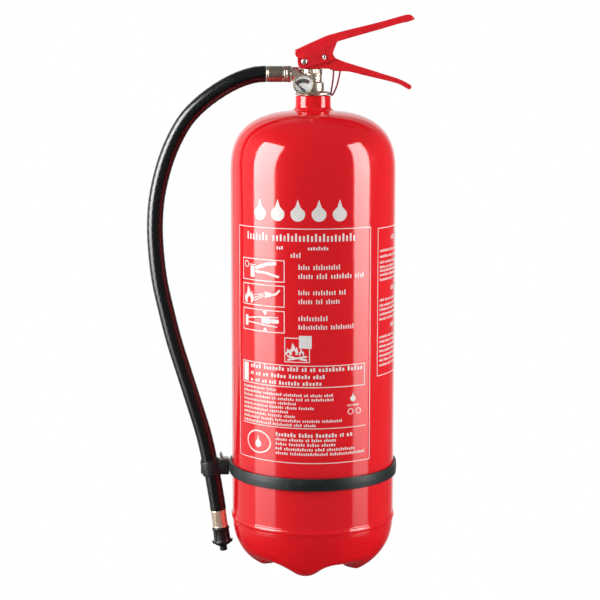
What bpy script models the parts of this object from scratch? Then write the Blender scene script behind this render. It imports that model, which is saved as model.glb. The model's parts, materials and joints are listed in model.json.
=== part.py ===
"""Nine litre water fire extinguisher, built from its separate pieces.

Blender 4.5, metres, +Z up. Lengths below are in millimetres unless a name says otherwise, and mm()
turns them into metres. Heights are above the floor. Horizontal places are measured from the cylinder's
axis, and the root empty then shifts the whole object along X, so that the frame's origin is at the
middle of the bounding box of everything except the hose. +X points along the squeeze lever and -Y
points to the side with the gauge.
"""
import math

import bmesh
import bpy
from mathutils import Matrix, Vector

MM = 0.001
AXIS_X = 8.6                 # cylinder axis from the frame's origin, along X
GAP = 0.3                    # clearance between pieces that touch

# Cylinder
BODY_R = 90.0
WALL = 1.5
SEAM_Z = 58.0                # weld between the bottom cap and the cylinder
SHOULDER_Z = 435.5           # where the dome's curve starts
DOME_H = 70.5
DOME_POWER = 2.77            # exponent of the dome's superellipse
SPIGOT_TOP_Z = 66.0
NECK_R = 19.1
NECK_TOP_Z = 520.2
NECK_BORE_R = 15.2

# Five-footed bottom
FEET = 5
FOOT_TURN = -9.3             # degrees from -Y to the first foot, towards +X when positive
PAD_INNER_R = 49.5           # each foot has a small flat pad
PAD_OUTER_R = 57.5
PAD_HALF_ANGLE = 7.2
VALLEY_HALF_ANGLE = 31.0     # from a foot's middle to the flat of the valley
KNUCKLE_H = 69.5
KNUCKLE_POWER = 2.37
CENTRE_Z = 22.0
VALLEY_LIFT = 13.0

# Valve
FLANGE_Z = 521.0
FLANGE_R = 19.2
OUTLET_Z = 544.4
OUTLET_END_X = -23.5
COLLAR_TEETH = 18
WEB_Z = 550.0                # underside of the carry handle, on the valve's collar
SEAT_Z = 537.2
CHAMBER_R = 6.0

# Handles
SHEET = 1.5
LEVER_HALF_WIDTH = 13.0
HANDLE_HALF_WIDTH = 11.2
PIVOT = (-9.7, 557.6)        # X and Z of the lever's rivet
PIN = (11.9, 562.8)          # X and Z of the safety pin
PIN_R = 1.9
LEVER_TRAVEL = 10.0          # degrees
ROOF_NOSE = (-15.6, 572.0)   # top of the lever over the stem, as a straight slope between two points
ROOF_BEND = (14.0, 585.0)
STEM_R = 3.0
STEM_PLAY = 0.4              # between the stem's round end and the lever's roof
SEAL_Y = -7.0                # plane of the tamper seal's loop
SEAL_HOLES = (22.0, 29.0)

# Gauge
GAUGE_X = -10.7
GAUGE_Z = 533.9
NEEDLE_DROP = 6.5            # needle pivot below the dial's centre
NEEDLE_REST = 45.0           # degrees from straight up, towards -X
NEEDLE_FRONT = 29.2          # needle plane in front of the cylinder's axis

# Hose and nozzle
HOSE_R = 8.75
HOSE_ROUTE = [
    (-54.0, 544.4), (-62.0, 543.7), (-72.0, 541.2), (-83.0, 537.1), (-95.0, 531.0), (-110.0, 521.4),
    (-124.0, 510.2), (-136.6, 497.0), (-147.0, 481.0), (-157.0, 460.0), (-165.0, 436.0),
    (-171.0, 408.0), (-173.2, 380.0), (-172.4, 352.0), (-168.7, 318.0), (-162.0, 286.0),
    (-153.9, 252.6), (-144.4, 221.0), (-133.3, 185.0), (-121.6, 145.0), (-114.0, 109.0),
    (-111.0, 92.0), (-108.7, 77.5), (-107.4, 69.0), (-106.6, 62.9)]
HOSE_POINTS = 32
HOSE_STUB = 3.1              # straight stretch at each end, square to its ferrule
NOZZLE_TILT = 7.2            # degrees, lower end towards the cylinder
FERRULE_LOW = (-104.95, 49.5)

# Strap
STRAP_Z = (105.0, 118.0)
STRAP_R = 93.2
CLIP = (-113.7, 108.5)
CLIP_TILT = 11.0

COLOURS = {
    "red_paint": ((0.72, 0.01, 0.02), 0.2, 0.0),
    "red_plastic": ((0.55, 0.01, 0.03), 0.4, 0.0),
    "nickel": ((0.62, 0.58, 0.50), 0.25, 1.0),
    "brass": ((0.72, 0.52, 0.32), 0.25, 1.0),
    "steel": ((0.60, 0.60, 0.58), 0.3, 1.0),
    "black_rubber": ((0.02, 0.02, 0.022), 0.55, 0.0),
    "black_plastic": ((0.03, 0.03, 0.032), 0.4, 0.0),
    "white_plastic": ((0.85, 0.85, 0.83), 0.4, 0.0),
    "dial_white": ((0.85, 0.86, 0.84), 0.5, 0.0),
    "needle_black": ((0.02, 0.02, 0.02), 0.5, 0.0),
    "clear_lens": ((0.9, 0.95, 0.95), 0.05, 0.0),
}


def clear_scene():
    for obj in list(bpy.data.objects):
        bpy.data.objects.remove(obj, do_unlink=True)


def mm(*values):
    """Millimetres to a vector in metres."""
    return Vector(values) * MM


def material(name):
    """The Principled material of one finish."""
    colour, roughness, metallic = COLOURS[name]
    mat = bpy.data.materials.new(name)
    mat.use_nodes = True
    shader = mat.node_tree.nodes["Principled BSDF"]
    shader.inputs["Base Color"].default_value = (*colour, 1.0)
    shader.inputs["Roughness"].default_value = roughness
    shader.inputs["Metallic"].default_value = metallic
    return mat


def new_object(name, bm, finish, at=(0, 0, 0), turn=(0, 0, 0)):
    """An object from a bmesh in millimetres, placed at a point in mm with a rotation in degrees."""
    bmesh.ops.recalc_face_normals(bm, faces=bm.faces)
    bmesh.ops.scale(bm, vec=(MM, MM, MM), verts=bm.verts)
    mesh = bpy.data.meshes.new(name)
    bm.to_mesh(mesh)
    bm.free()
    mesh.shade_smooth()
    mesh.set_sharp_from_angle(angle=math.radians(35))
    obj = bpy.data.objects.new(name, mesh)
    bpy.context.scene.collection.objects.link(obj)
    if finish:
        mesh.materials.append(material(finish))
    obj.location = mm(*at)
    obj.rotation_euler = [math.radians(angle) for angle in turn]
    obj.parent = ROOT
    return obj


def turned(profile, steps, closed=True):
    """A profile of (radius, height) points turned about Z. A point of radius 0 is a pole."""
    bm = bmesh.new()
    rings = []
    for radius, height in profile:
        if radius == 0:
            rings.append([bm.verts.new((0, 0, height))])
            continue
        angles = [math.tau * i / steps for i in range(steps)]
        rings.append([bm.verts.new((radius * math.cos(a), radius * math.sin(a), height)) for a in angles])
    pairs = list(zip(rings, rings[1:]))
    if closed:
        pairs.append((rings[-1], rings[0]))
    for lower, upper in pairs:
        join_rings(bm, lower, upper, steps)
    return bm


def join_rings(bm, lower, upper, steps):
    for i in range(steps):
        j = (i + 1) % steps
        if len(lower) == 1:
            bm.faces.new((lower[0], upper[i], upper[j]))
        elif len(upper) == 1:
            bm.faces.new((lower[i], lower[j], upper[0]))
        else:
            bm.faces.new((lower[i], lower[j], upper[j], upper[i]))


def rod(radius, low, high, steps=24):
    """A plain cylinder about Z between two heights."""
    return turned([(0, low), (radius, low), (radius, high), (0, high)], steps, closed=False)


def tube(inner, outer, low, high, steps=24):
    return turned([(inner, low), (outer, low), (outer, high), (inner, high)], steps)


def prism(outline, half_width):
    """An outline of (x, z) points as a slab between -half_width and +half_width along Y."""
    bm = bmesh.new()
    front = [bm.verts.new((x, -half_width, z)) for x, z in outline]
    back = [bm.verts.new((x, half_width, z)) for x, z in outline]
    bm.faces.new(front)
    bm.faces.new(back[::-1])
    for i in range(len(outline)):
        j = (i + 1) % len(outline)
        bm.faces.new((front[i], back[i], back[j], front[j]))
    return bm


def block(low, high):
    """A box between two corners."""
    bm = bmesh.new()
    bmesh.ops.create_cube(bm, size=1)
    for vert in bm.verts:
        vert.co = [a + (b - a) * (c + 0.5) for a, b, c in zip(low, high, vert.co)]
    return bm


def tool(bm, at=(0, 0, 0), turn=(0, 0, 0)):
    """A hidden object that a Boolean modifier uses."""
    obj = new_object("tool", bm, None, at, turn)
    obj.name = "tool_" + str(len(bpy.data.objects))
    obj.hide_render = True
    obj.display_type = "WIRE"
    return obj


def join_with(obj, *tools):
    boolean(obj, "UNION", tools)


def cut(obj, *tools):
    boolean(obj, "DIFFERENCE", tools)


def boolean(obj, operation, tools):
    for other in tools:
        step = obj.modifiers.new(operation.lower(), "BOOLEAN")
        step.operation = operation
        step.solver = "EXACT"
        step.object = other


def arc(centre, radius, start, end, count):
    """Points of an arc in the (x, z) plane, angles in degrees."""
    points = []
    for i in range(count):
        angle = math.radians(start + (end - start) * i / (count - 1))
        points.append((centre[0] + radius * math.cos(angle), centre[1] + radius * math.sin(angle)))
    return points


def smooth_route(points, count):
    """Evenly spaced points on a centripetal Catmull-Rom curve through the given 3-D points."""
    pts = [Vector(p) for p in points]
    pts = [2 * pts[0] - pts[1]] + pts + [2 * pts[-1] - pts[-2]]
    dense = []
    for p0, p1, p2, p3 in zip(pts, pts[1:], pts[2:], pts[3:]):
        t0 = 0.0
        t1 = t0 + math.sqrt((p1 - p0).length)
        t2 = t1 + math.sqrt((p2 - p1).length)
        t3 = t2 + math.sqrt((p3 - p2).length)
        for i in range(12):
            t = t1 + (t2 - t1) * i / 12
            a1 = p0.lerp(p1, (t - t0) / (t1 - t0))
            a2 = p1.lerp(p2, (t - t1) / (t2 - t1))
            a3 = p2.lerp(p3, (t - t2) / (t3 - t2))
            b1 = a1.lerp(a2, (t - t0) / (t2 - t0))
            b2 = a2.lerp(a3, (t - t1) / (t3 - t1))
            dense.append(b1.lerp(b2, (t - t1) / (t2 - t1)))
    dense.append(pts[-2])
    lengths = [0.0]
    for a, b in zip(dense, dense[1:]):
        lengths.append(lengths[-1] + (b - a).length)
    even = []
    k = 0
    for i in range(count):
        want = lengths[-1] * i / (count - 1)
        while k < len(dense) - 2 and lengths[k + 1] < want:
            k += 1
        share = (want - lengths[k]) / (lengths[k + 1] - lengths[k])
        even.append(dense[k].lerp(dense[k + 1], min(share, 1.0)))
    return even


def wire(name, points, radius, finish, cyclic=False, resolution=2):
    """A round wire or hose as a bevelled curve with filled caps, from points in mm."""
    curve = bpy.data.curves.new(name, "CURVE")
    curve.dimensions = "3D"
    curve.bevel_depth = radius * MM
    curve.bevel_resolution = resolution
    curve.use_fill_caps = not cyclic
    curve.render_resolution_u = 0
    spline = curve.splines.new("POLY")
    spline.points.add(len(points) - 1)
    for point, place in zip(spline.points, points):
        point.co = (*mm(*place), 1.0)
    spline.use_cyclic_u = cyclic
    curve.materials.append(material(finish))
    obj = bpy.data.objects.new(name, curve)
    bpy.context.scene.collection.objects.link(obj)
    obj.parent = ROOT
    return obj


# ---------------------------------------------------------------- cylinder

def dome_profile(shrink, first_z, hole_r, steps):
    """Side and dome of the cylinder, from the bottom edge up to the neck hole."""
    radius = BODY_R - shrink
    height = DOME_H - shrink
    end = math.acos((hole_r / radius) ** (DOME_POWER / 2))
    points = [(radius, first_z)]
    for i in range(steps + 1):
        t = end * (i / steps) ** 0.9
        x = radius * math.cos(t) ** (2 / DOME_POWER)
        z = SHOULDER_Z + height * math.sin(t) ** (2 / DOME_POWER)
        points.append((x, z))
    return points


def cylinder_body():
    bottom = SEAM_Z + GAP
    outer = dome_profile(0, bottom, NECK_R + 0.4, 9)
    inner = dome_profile(WALL, bottom, NECK_R + 0.4, 4)
    new_object("cylinder_body", turned(outer + inner[::-1], 60), "red_paint")


def foot_share(angle):
    """1 on a foot's pad, 0 in the valley between two feet. The angle is in degrees from -Y."""
    pitch = 360 / FEET
    off = abs((angle - FOOT_TURN + pitch / 2) % pitch - pitch / 2)
    fall = (off - PAD_HALF_ANGLE - 0.01) / (VALLEY_HALF_ANGLE - PAD_HALF_ANGLE)
    return 0.5 + 0.5 * math.cos(math.pi * min(max(fall, 0.0), 1.0))


def bottom_height(radius, angle):
    """Outer height of the bottom at a radius and an angle."""
    if radius >= PAD_INNER_R:
        share = min(radius / BODY_R, 1.0)
        foot = SEAM_Z - KNUCKLE_H * (1 - share ** KNUCKLE_POWER) ** (1 / KNUCKLE_POWER)
        foot = max(foot, 0.0)
    else:
        foot = CENTRE_Z * (1 - (radius / PAD_INNER_R) ** 2) ** 2
    middle = (PAD_INNER_R + PAD_OUTER_R) / 2
    if radius < middle:
        bump = math.sin(math.pi / 2 * radius / middle) ** 2
    else:
        bump = 0.5 + 0.5 * math.cos(math.pi * min((radius - middle) / (88 - middle), 1))
    return foot + VALLEY_LIFT * bump * (1 - foot_share(angle))


def bottom_cap():
    """A pressed dish with five feet. Its spigot stands inside the cylinder at the seam."""
    steps = FEET * 10
    radii = [89.6, 87.0, 81.0, 73.0, 65.0, PAD_OUTER_R, PAD_INNER_R, 39.0, 24.0]
    spigot_r = BODY_R - WALL - 0.4
    angles = [FOOT_TURN + 360 * i / steps for i in range(steps)]
    bm = bmesh.new()

    def ring(place):
        verts = []
        for angle in angles:
            radius, height = place(angle)
            a = math.radians(angle)
            verts.append(bm.verts.new((radius * math.sin(a), -radius * math.cos(a), height)))
        return verts

    def wall_point(radius, angle, depth):
        rise = (bottom_height(radius + 0.05, angle) - bottom_height(radius - 0.05, angle)) / 0.1
        length = math.hypot(rise, 1)
        return radius - depth * rise / length, bottom_height(radius, angle) + depth / length

    rings = [ring(lambda a: (spigot_r, SPIGOT_TOP_Z)), ring(lambda a: (spigot_r, SEAM_Z + GAP)),
             ring(lambda a: (BODY_R, SEAM_Z))]
    for radius in radii:
        rings.append(ring(lambda a: (radius, bottom_height(radius, a))))
    rings.append([bm.verts.new((0, 0, CENTRE_Z))])
    rings.append([bm.verts.new((0, 0, CENTRE_Z + WALL))])
    for radius in radii[::-1]:
        rings.append(ring(lambda a: wall_point(radius, a, WALL)))
    rings.append(ring(lambda a: (spigot_r - WALL, SEAM_Z - 2)))
    rings.append(ring(lambda a: (spigot_r - WALL, SPIGOT_TOP_Z)))
    for lower, upper in zip(rings, rings[1:] + rings[:1]):
        if len(lower) == 1 and len(upper) == 1:
            continue
        join_rings(bm, lower, upper, steps)
    return new_object("bottom_cap", bm, "red_paint")


def neck_boss():
    """Turned ring with a welding flare that sits on the dome."""
    top = NECK_TOP_Z
    profile = [(NECK_BORE_R, 499), (18.8, 499), (NECK_R, 500), (NECK_R, 506.0), (23.0, 506.1), (21.2, 507.0),
               (19.9, 508.4), (NECK_R, 510.4), (NECK_R, top - 0.6), (NECK_R - 0.6, top), (17.1, top),
               (17.1, top - 1.7), (NECK_BORE_R, top - 1.7)]
    new_object("neck_boss", turned(profile, 28), "red_paint")


def ring_seal(name, major, minor, height, steps=20, sides=6):
    profile = []
    for i in range(sides):
        angle = math.tau * i / sides
        profile.append((major + minor * math.cos(angle), height + minor * math.sin(angle)))
    new_object(name, turned(profile, steps), "black_rubber")


# ---------------------------------------------------------------- valve

def knurled_disc(inner, outer, teeth, low, high):
    """A disc with square teeth round its edge."""
    outline = []
    for i in range(teeth * 4):
        radius = outer if i % 4 in (1, 2) else inner
        angle = math.tau * (i + 0.5) / (teeth * 4)
        outline.append((radius * math.cos(angle), radius * math.sin(angle)))
    bm = bmesh.new()
    bottom = [bm.verts.new((x, y, low)) for x, y in outline]
    top = [bm.verts.new((x, y, high)) for x, y in outline]
    bm.faces.new(bottom[::-1])
    bm.faces.new(top)
    for i in range(len(outline)):
        j = (i + 1) % len(outline)
        bm.faces.new((bottom[i], bottom[j], top[j], top[i]))
    return bm


def valve_body():
    """Brass body: screwed plug, flange, two steps, collar, outlet boss and gauge boss."""
    outer = [(0, 498), (14.2, 498), (14.6, 498.8), (14.6, FLANGE_Z), (FLANGE_R - 0.5, FLANGE_Z),
             (FLANGE_R, 521.8), (FLANGE_R, 523.2), (17.8, 525.0), (14.8, 526.3), (11.7, 526.8), (11.7, 534.4),
             (10.9, 535.6), (9.3, 536.4), (9.3, 542.8), (10.2, 543.3), (10.2, 545.0), (9.2, 545.4),
             (9.2, 547.0), (7.8, 547.0), (7.8, 553.4), (0, 553.4)]
    valve = new_object("valve_body", turned(outer, 32, closed=False), "nickel")
    collar = tool(knurled_disc(9.7, 10.7, COLLAR_TEETH, 545.6, WEB_Z - GAP))
    outlet_thin = tool(rod(5.1, 0, 16, 20), (0, 0, OUTLET_Z), (0, -90, 0))
    outlet_boss = tool(rod(7.6, 15.4, -OUTLET_END_X, 24), (0, 0, OUTLET_Z), (0, -90, 0))
    gauge_boss = tool(rod(6.4, 0.2, 18.4, 20), (GAUGE_X, 0, GAUGE_Z), (90, 0, 0))
    join_with(valve, collar, outlet_thin, outlet_boss, gauge_boss)
    bore = [(0, 497), (7.5, 497), (7.5, 514), (CHAMBER_R, 514), (CHAMBER_R, SEAT_Z), (3.9, SEAT_Z),
            (3.9, 540.2), (5.7, 540.2), (5.7, 555), (0, 555)]
    main_bore = tool(turned(bore, 24, closed=False))
    outlet_bore = tool(rod(3.0, 0.1, 16, 16), (0, 0, OUTLET_Z), (0, -90, 0))
    outlet_socket = tool(rod(4.7, 12.5, 30, 20), (0, 0, OUTLET_Z), (0, -90, 0))
    gauge_socket = tool(rod(4.1, 9.5, 25, 16), (GAUGE_X, 0, GAUGE_Z), (90, 0, 0))
    gauge_drill = tool(rod(1.0, -1.5, 12, 10), (GAUGE_X, 0, GAUGE_Z), (90, 0, 0))
    cross_drill = tool(rod(0.9, 0.1, 11.2, 10), (0, 0, GAUGE_Z), (0, -90, 0))
    cut(valve, main_bore, outlet_bore, outlet_socket, gauge_socket, gauge_drill, cross_drill)


def valve_insides():
    """Stem, its seals, spring, gland nut and the retainer that also carries the dip tube."""
    slope = math.atan2(ROOF_BEND[1] - ROOF_NOSE[1], ROOF_BEND[0] - ROOF_NOSE[0])
    roof_z = ROOF_NOSE[1] - ROOF_NOSE[0] * math.tan(slope) - SHEET / math.cos(slope)
    centre_z = roof_z - (STEM_R + STEM_PLAY) / math.cos(slope)
    profile = [(0, 526.5), (2.4, 526.5), (2.4, 533.0), (5.0, 533.0), (5.0, 535.2), (2.0, 535.2), (2.0, 541.6),
               (STEM_R, 542.4)]
    for i in range(5):
        angle = math.radians(90 * i / 5)
        profile.append((STEM_R * math.cos(angle), centre_z + STEM_R * math.sin(angle)))
    profile.append((0, centre_z + STEM_R))
    new_object("valve_stem", turned(profile, 20, closed=False), "steel")
    new_object("stem_seal", tube(2.3, 5.2, 535.5, SEAT_Z - GAP, 20), "black_rubber")

    nut = [(STEM_R + 0.25, 548.2), (5.4, 548.2), (5.4, 553.7), (6.9, 553.7), (6.9, 556.0),
           (6.4, 556.5), (STEM_R + 0.25, 556.5), (STEM_R + 0.25, 552.0), (5.0, 552.0), (5.0, 550.2),
           (STEM_R + 0.25, 550.2)]
    new_object("gland_nut", turned(nut, 18), "brass")
    ring_seal("stem_o_ring", 4.05, 0.75, 551.1, 20)

    turns = 5
    per_turn = 9
    low = 516.2
    high = 532.2
    count = turns * per_turn + 1
    coil = []
    for i in range(count):
        angle = math.tau * i / per_turn
        coil.append((4.0 * math.cos(angle), 4.0 * math.sin(angle), low + (high - low) * i / (count - 1)))
    wire("stem_spring", coil, 0.5, "steel", resolution=1)

    holder = [(3.2, 489), (5.1, 489), (5.1, 499.9), (7.1, 499.9), (7.1, 513.7), (5.5, 513.7), (5.5, 515.5),
              (3.2, 515.5)]
    new_object("spring_retainer", turned(holder, 20), "brass")


def dip_tube():
    """Plastic pick-up pipe on the retainer's spigot, with a slotted strainer at its foot."""
    new_object("dip_tube", tube(5.5, 7.0, 30, 499.5, 20), "white_plastic")
    cup = [(0, 25.5), (8.6, 25.5), (9.2, 26.5), (9.2, 44), (7.3, 44), (7.3, 27.5), (0, 27.5)]
    strainer = new_object("dip_tube_strainer", turned(cup, 24, closed=False), "white_plastic")
    for i in range(3):
        slot = block((-12, -0.9, 28.5), (12, 0.9, 41.0))
        cut(strainer, tool(slot, turn=(0, 0, 60 * i + 7.5)))


# ---------------------------------------------------------------- handles

def lever_outline():
    """Side view of the squeeze lever. It starts at the nose and runs clockwise along the top."""
    nose = arc((-16.6, 567.6), 3.6, 200, 95, 5)
    top = [(-9.0, 574.9), (-1.0, 578.5), (7.0, 582.0), ROOF_BEND, (24.0, 587.9), (37.4, 591.4),
           (58.0, 596.3), (80.0, 602.0), (92.0, 605.4), (97.9, 607.0)]
    tip = [(101.5, 607.6), (104.4, 607.0), (107.0, 605.2), (108.8, 603.3), (108.9, 602.4), (107.3, 601.7)]
    under = [(101.8, 600.0), (96.0, 599.0), (80.0, 594.4), (68.8, 591.2), (45.0, 584.5), (25.8, 579.0),
             (23.6, 573.0), (20.8, 566.0), (24.0, 561.2)]
    cheek = [(16.2, 557.7), (10.0, 555.9), (2.0, 554.2), (-7.5, 552.0), (-13.2, 550.6), (-14.6, 551.2),
             (-15.6, 557.0), (-16.5, 563.2)]
    return nose + top + tip + under + cheek


def handle_outline():
    """Side view of the carry handle. It starts behind the pivot and runs clockwise."""
    top = [(-14.9, 560.5), (-12.6, 565.0), (-8.0, 566.8), (8.0, 568.6), (15.5, 568.6), (19.4, 566.0),
           (24.0, 561.2), (33.0, 557.6), (45.0, 553.9), (62.1, 548.7), (77.0, 544.0), (91.9, 539.3),
           (99.0, 536.1)]
    tip = arc((103.5, 530.6), 2.6, 45, -110, 6)
    under = [(98.0, 530.9), (92.8, 533.6), (84.0, 536.2), (74.8, 538.4), (56.0, 542.8), (38.4, 546.9),
             (29.0, 547.4), (22.2, 547.8), (16.5, WEB_Z), (-14.9, WEB_Z)]
    return top + tip + under


def hole_tool(place, radius, half_width=20, steps=20):
    """A cutter along Y at an (x, z) place."""
    return tool(rod(radius, -half_width, half_width, steps), (place[0], 0, place[1]), (90, 0, 0))


def offset_chain(chain, distance):
    """A chain of (x, z) points moved sideways, to the right of its direction when positive."""
    moved = []
    for i, (x, z) in enumerate(chain):
        before = chain[max(i - 1, 0)]
        after = chain[min(i + 1, len(chain) - 1)]
        dx = after[0] - before[0]
        dz = after[1] - before[1]
        length = math.hypot(dx, dz)
        moved.append((x + distance * dz / length, z - distance * dx / length))
    return moved


def squeeze_lever():
    """Pressed channel, open below. Its mesh is measured from the pivot rivet."""
    def local(points):
        return [(x - PIVOT[0], z - PIVOT[1]) for x, z in points]

    at = (PIVOT[0], 0, PIVOT[1])
    lever = new_object("squeeze_lever", prism(local(lever_outline()), LEVER_HALF_WIDTH), "red_paint", at)
    roof = [ROOF_NOSE, (-1.0, 578.5), ROOF_BEND, (24.0, 587.9), (37.4, 591.4), (58.0, 596.3), (80.0, 602.0),
            (97.9, 607.0), (103.0, 607.0)]
    pocket = [(-15.4, 563.4)] + offset_chain(roof, SHEET) + [(104.6, 590), (60, 540), (-30, 540), (-30, 563.4)]
    room = tool(prism(local(pocket), LEVER_HALF_WIDTH - SHEET), at)
    cut(lever, room, hole_tool(PIVOT, 2.6), hole_tool(PIN, PIN_R + GAP))


def carry_handle():
    """Pressed channel, open above, clamped on the valve. Arc slots let the pin ride with the lever."""
    handle = new_object("carry_handle", prism(handle_outline(), HANDLE_HALF_WIDTH), "red_paint")
    floor = [(-30.0, WEB_Z), (16.5, WEB_Z), (22.2, 547.8), (38.4, 546.9), (56.0, 542.8), (74.8, 538.4),
             (92.8, 533.6), (101.0, 529.6)]
    pocket = offset_chain(floor, -SHEET) + [(104.0, 533.5), (104, 580), (-30, 580)]
    cut(handle, tool(prism(pocket[::-1], HANDLE_HALF_WIDTH - SHEET)))
    cut(handle, tool(rod(8.2, 545, 556, 24)))
    cut(handle, hole_tool(PIVOT, 2.6))
    cut(handle, tool(pin_slot()))
    for x in SEAL_HOLES:
        cut(handle, tool(rod(1.2, 540, 556, 12), (x, SEAL_Y, 0)))


def pin_slot():
    """Slot that follows the safety pin as the lever turns about its rivet."""
    dx = PIN[0] - PIVOT[0]
    dz = PIN[1] - PIVOT[1]
    reach = math.hypot(dx, dz)
    start = math.degrees(math.atan2(dz, dx))
    end = start - LEVER_TRAVEL
    half = PIN_R + GAP
    top_end = arc(PIN, half, start, start + 180, 7)
    low_x = PIVOT[0] + reach * math.cos(math.radians(end))
    low_z = PIVOT[1] + reach * math.sin(math.radians(end))
    low_end = arc((low_x, low_z), half, end - 180, end, 7)
    inner = arc(PIVOT, reach - half, start, end, 4)[1:-1]
    outer = arc(PIVOT, reach + half, end, start, 4)[1:-1]
    return prism((top_end + inner + low_end + outer)[::-1], 20)


def handle_hardware():
    """Ring nut that clamps the handle, the lever's rivet, the safety pin and its ring."""
    new_object("handle_lock_ring", tube(8.1, 9.3, WEB_Z + SHEET + GAP, 554.4, 24), "steel")
    head = LEVER_HALF_WIDTH + GAP
    rivet = [(0, -head - 1.7), (2.2, -head - 1.5), (3.6, -head - 0.5), (3.6, -head), (2.3, -head),
             (2.3, head), (3.6, head), (3.6, head + 0.5), (2.2, head + 1.5), (0, head + 1.7)]
    new_object("pivot_rivet", turned(rivet, 20, closed=False), "steel", (PIVOT[0], 0, PIVOT[1]), (90, 0, 0))

    front = LEVER_HALF_WIDTH + 1.4
    back = LEVER_HALF_WIDTH + 4.5
    shank = [(0, -back), (1.5, -back), (PIN_R, -back + 0.4), (PIN_R, front - 0.7), (1.3, front), (0, front)]
    new_object("safety_pin", turned(shank, 16, closed=False), "steel", (PIN[0], 0, PIN[1]), (90, 0, 0))

    ring_r = 11.0
    ring_centre = back + GAP + 1.1 + ring_r
    circle = []
    for i in range(24):
        angle = math.tau * i / 24
        circle.append((PIN[0] + ring_r * math.sin(angle), ring_centre - ring_r * math.cos(angle), PIN[1]))
    wire("pull_ring", circle, 1.1, "steel", cyclic=True, resolution=2)


def tamper_seal():
    """Thin plastic loop through two holes in the handle's web and past the valve's flange."""
    left = [(22.0, 551.6), (21.9, 548.5), (21.6, 541.0), (20.6, 533.0), (19.5, 526.5), (19.2, 521.5)]
    foot = [(19.7, 519.6)]
    right = [(20.9, 520.6), (22.9, 524.8), (25.0, 530.5), (26.9, 537.0), (28.2, 543.0), (29.0, 548.5),
             (28.6, 551.2), (25.5, 552.2)]
    points = [(x, SEAL_Y, z) for x, z in left + foot + right]
    wire("tamper_seal", points, 0.62, "red_plastic", cyclic=True, resolution=2)


# ---------------------------------------------------------------- gauge

def gauge():
    """Screwed pressure gauge that faces -Y. Its parts are turned about their own Z, then tipped."""
    at = (GAUGE_X, 0, GAUGE_Z)
    tip = (90, 0, 0)
    case = [(1.0, 10.2), (3.4, 10.2), (3.8, 10.8), (3.8, 18.9), (8.0, 18.9), (8.0, 23.0), (9.6, 23.6),
            (9.6, 31.6), (8.6, 31.6), (8.6, 25.2), (1.0, 25.2)]
    body = new_object("gauge_case", turned(case, 24), "nickel", at, tip)
    hexagon = turned([(4.5, 19.6), (11.7, 19.6), (11.7, 23.4), (4.5, 23.4)], 6)
    join_with(body, tool(hexagon, at, tip))

    bezel = [(8.1, 31.9), (9.7, 31.9), (10.0, 32.3), (10.0, 33.2), (9.3, 34.0), (8.1, 33.4)]
    new_object("gauge_bezel", turned(bezel, 24), "nickel", at, tip)
    new_object("gauge_lens", rod(8.3, 30.5, 31.5, 24), "clear_lens", at, tip)

    dial = new_object("gauge_dial", rod(8.3, 27.4, 28.2, 24), "dial_white", at, tip)
    pivot_z = GAUGE_Z - NEEDLE_DROP
    cut(dial, tool(rod(0.9, 20, 35, 12), (GAUGE_X, 0, pivot_z), tip))

    arc_r = 5.6
    coil = []
    for i in range(16):
        angle = math.radians(-60 + 270 * i / 15)
        coil.append((GAUGE_X + arc_r * math.cos(angle), -26.3, GAUGE_Z + arc_r * math.sin(angle)))
    wire("gauge_bourdon_tube", coil, 0.7, "brass", resolution=1)

    pointer = [(-0.55, -1.9), (0.55, -1.9), (0.4, 3.0), (0.12, 7.7), (-0.12, 7.7), (-0.4, 3.0)]
    bm = bmesh.new()
    back = [bm.verts.new((x, y, -0.3)) for x, y in pointer]
    front = [bm.verts.new((x, y, 0.3)) for x, y in pointer]
    bm.faces.new(back[::-1])
    bm.faces.new(front)
    for i in range(len(pointer)):
        j = (i + 1) % len(pointer)
        bm.faces.new((back[i], back[j], front[j], front[i]))
    bmesh.ops.rotate(bm, verts=bm.verts, matrix=Matrix.Rotation(math.radians(NEEDLE_REST), 3, "Z"))
    pivot = (GAUGE_X, -NEEDLE_FRONT, pivot_z)
    needle = new_object("gauge_needle", bm, "needle_black", pivot, tip)
    hub = [(0, -3.4), (0.55, -3.4), (0.55, -0.5), (1.3, -0.5), (1.3, 0.7), (0, 0.7)]
    join_with(needle, tool(turned(hub, 12, closed=False), pivot, tip))


# ---------------------------------------------------------------- hose

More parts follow.
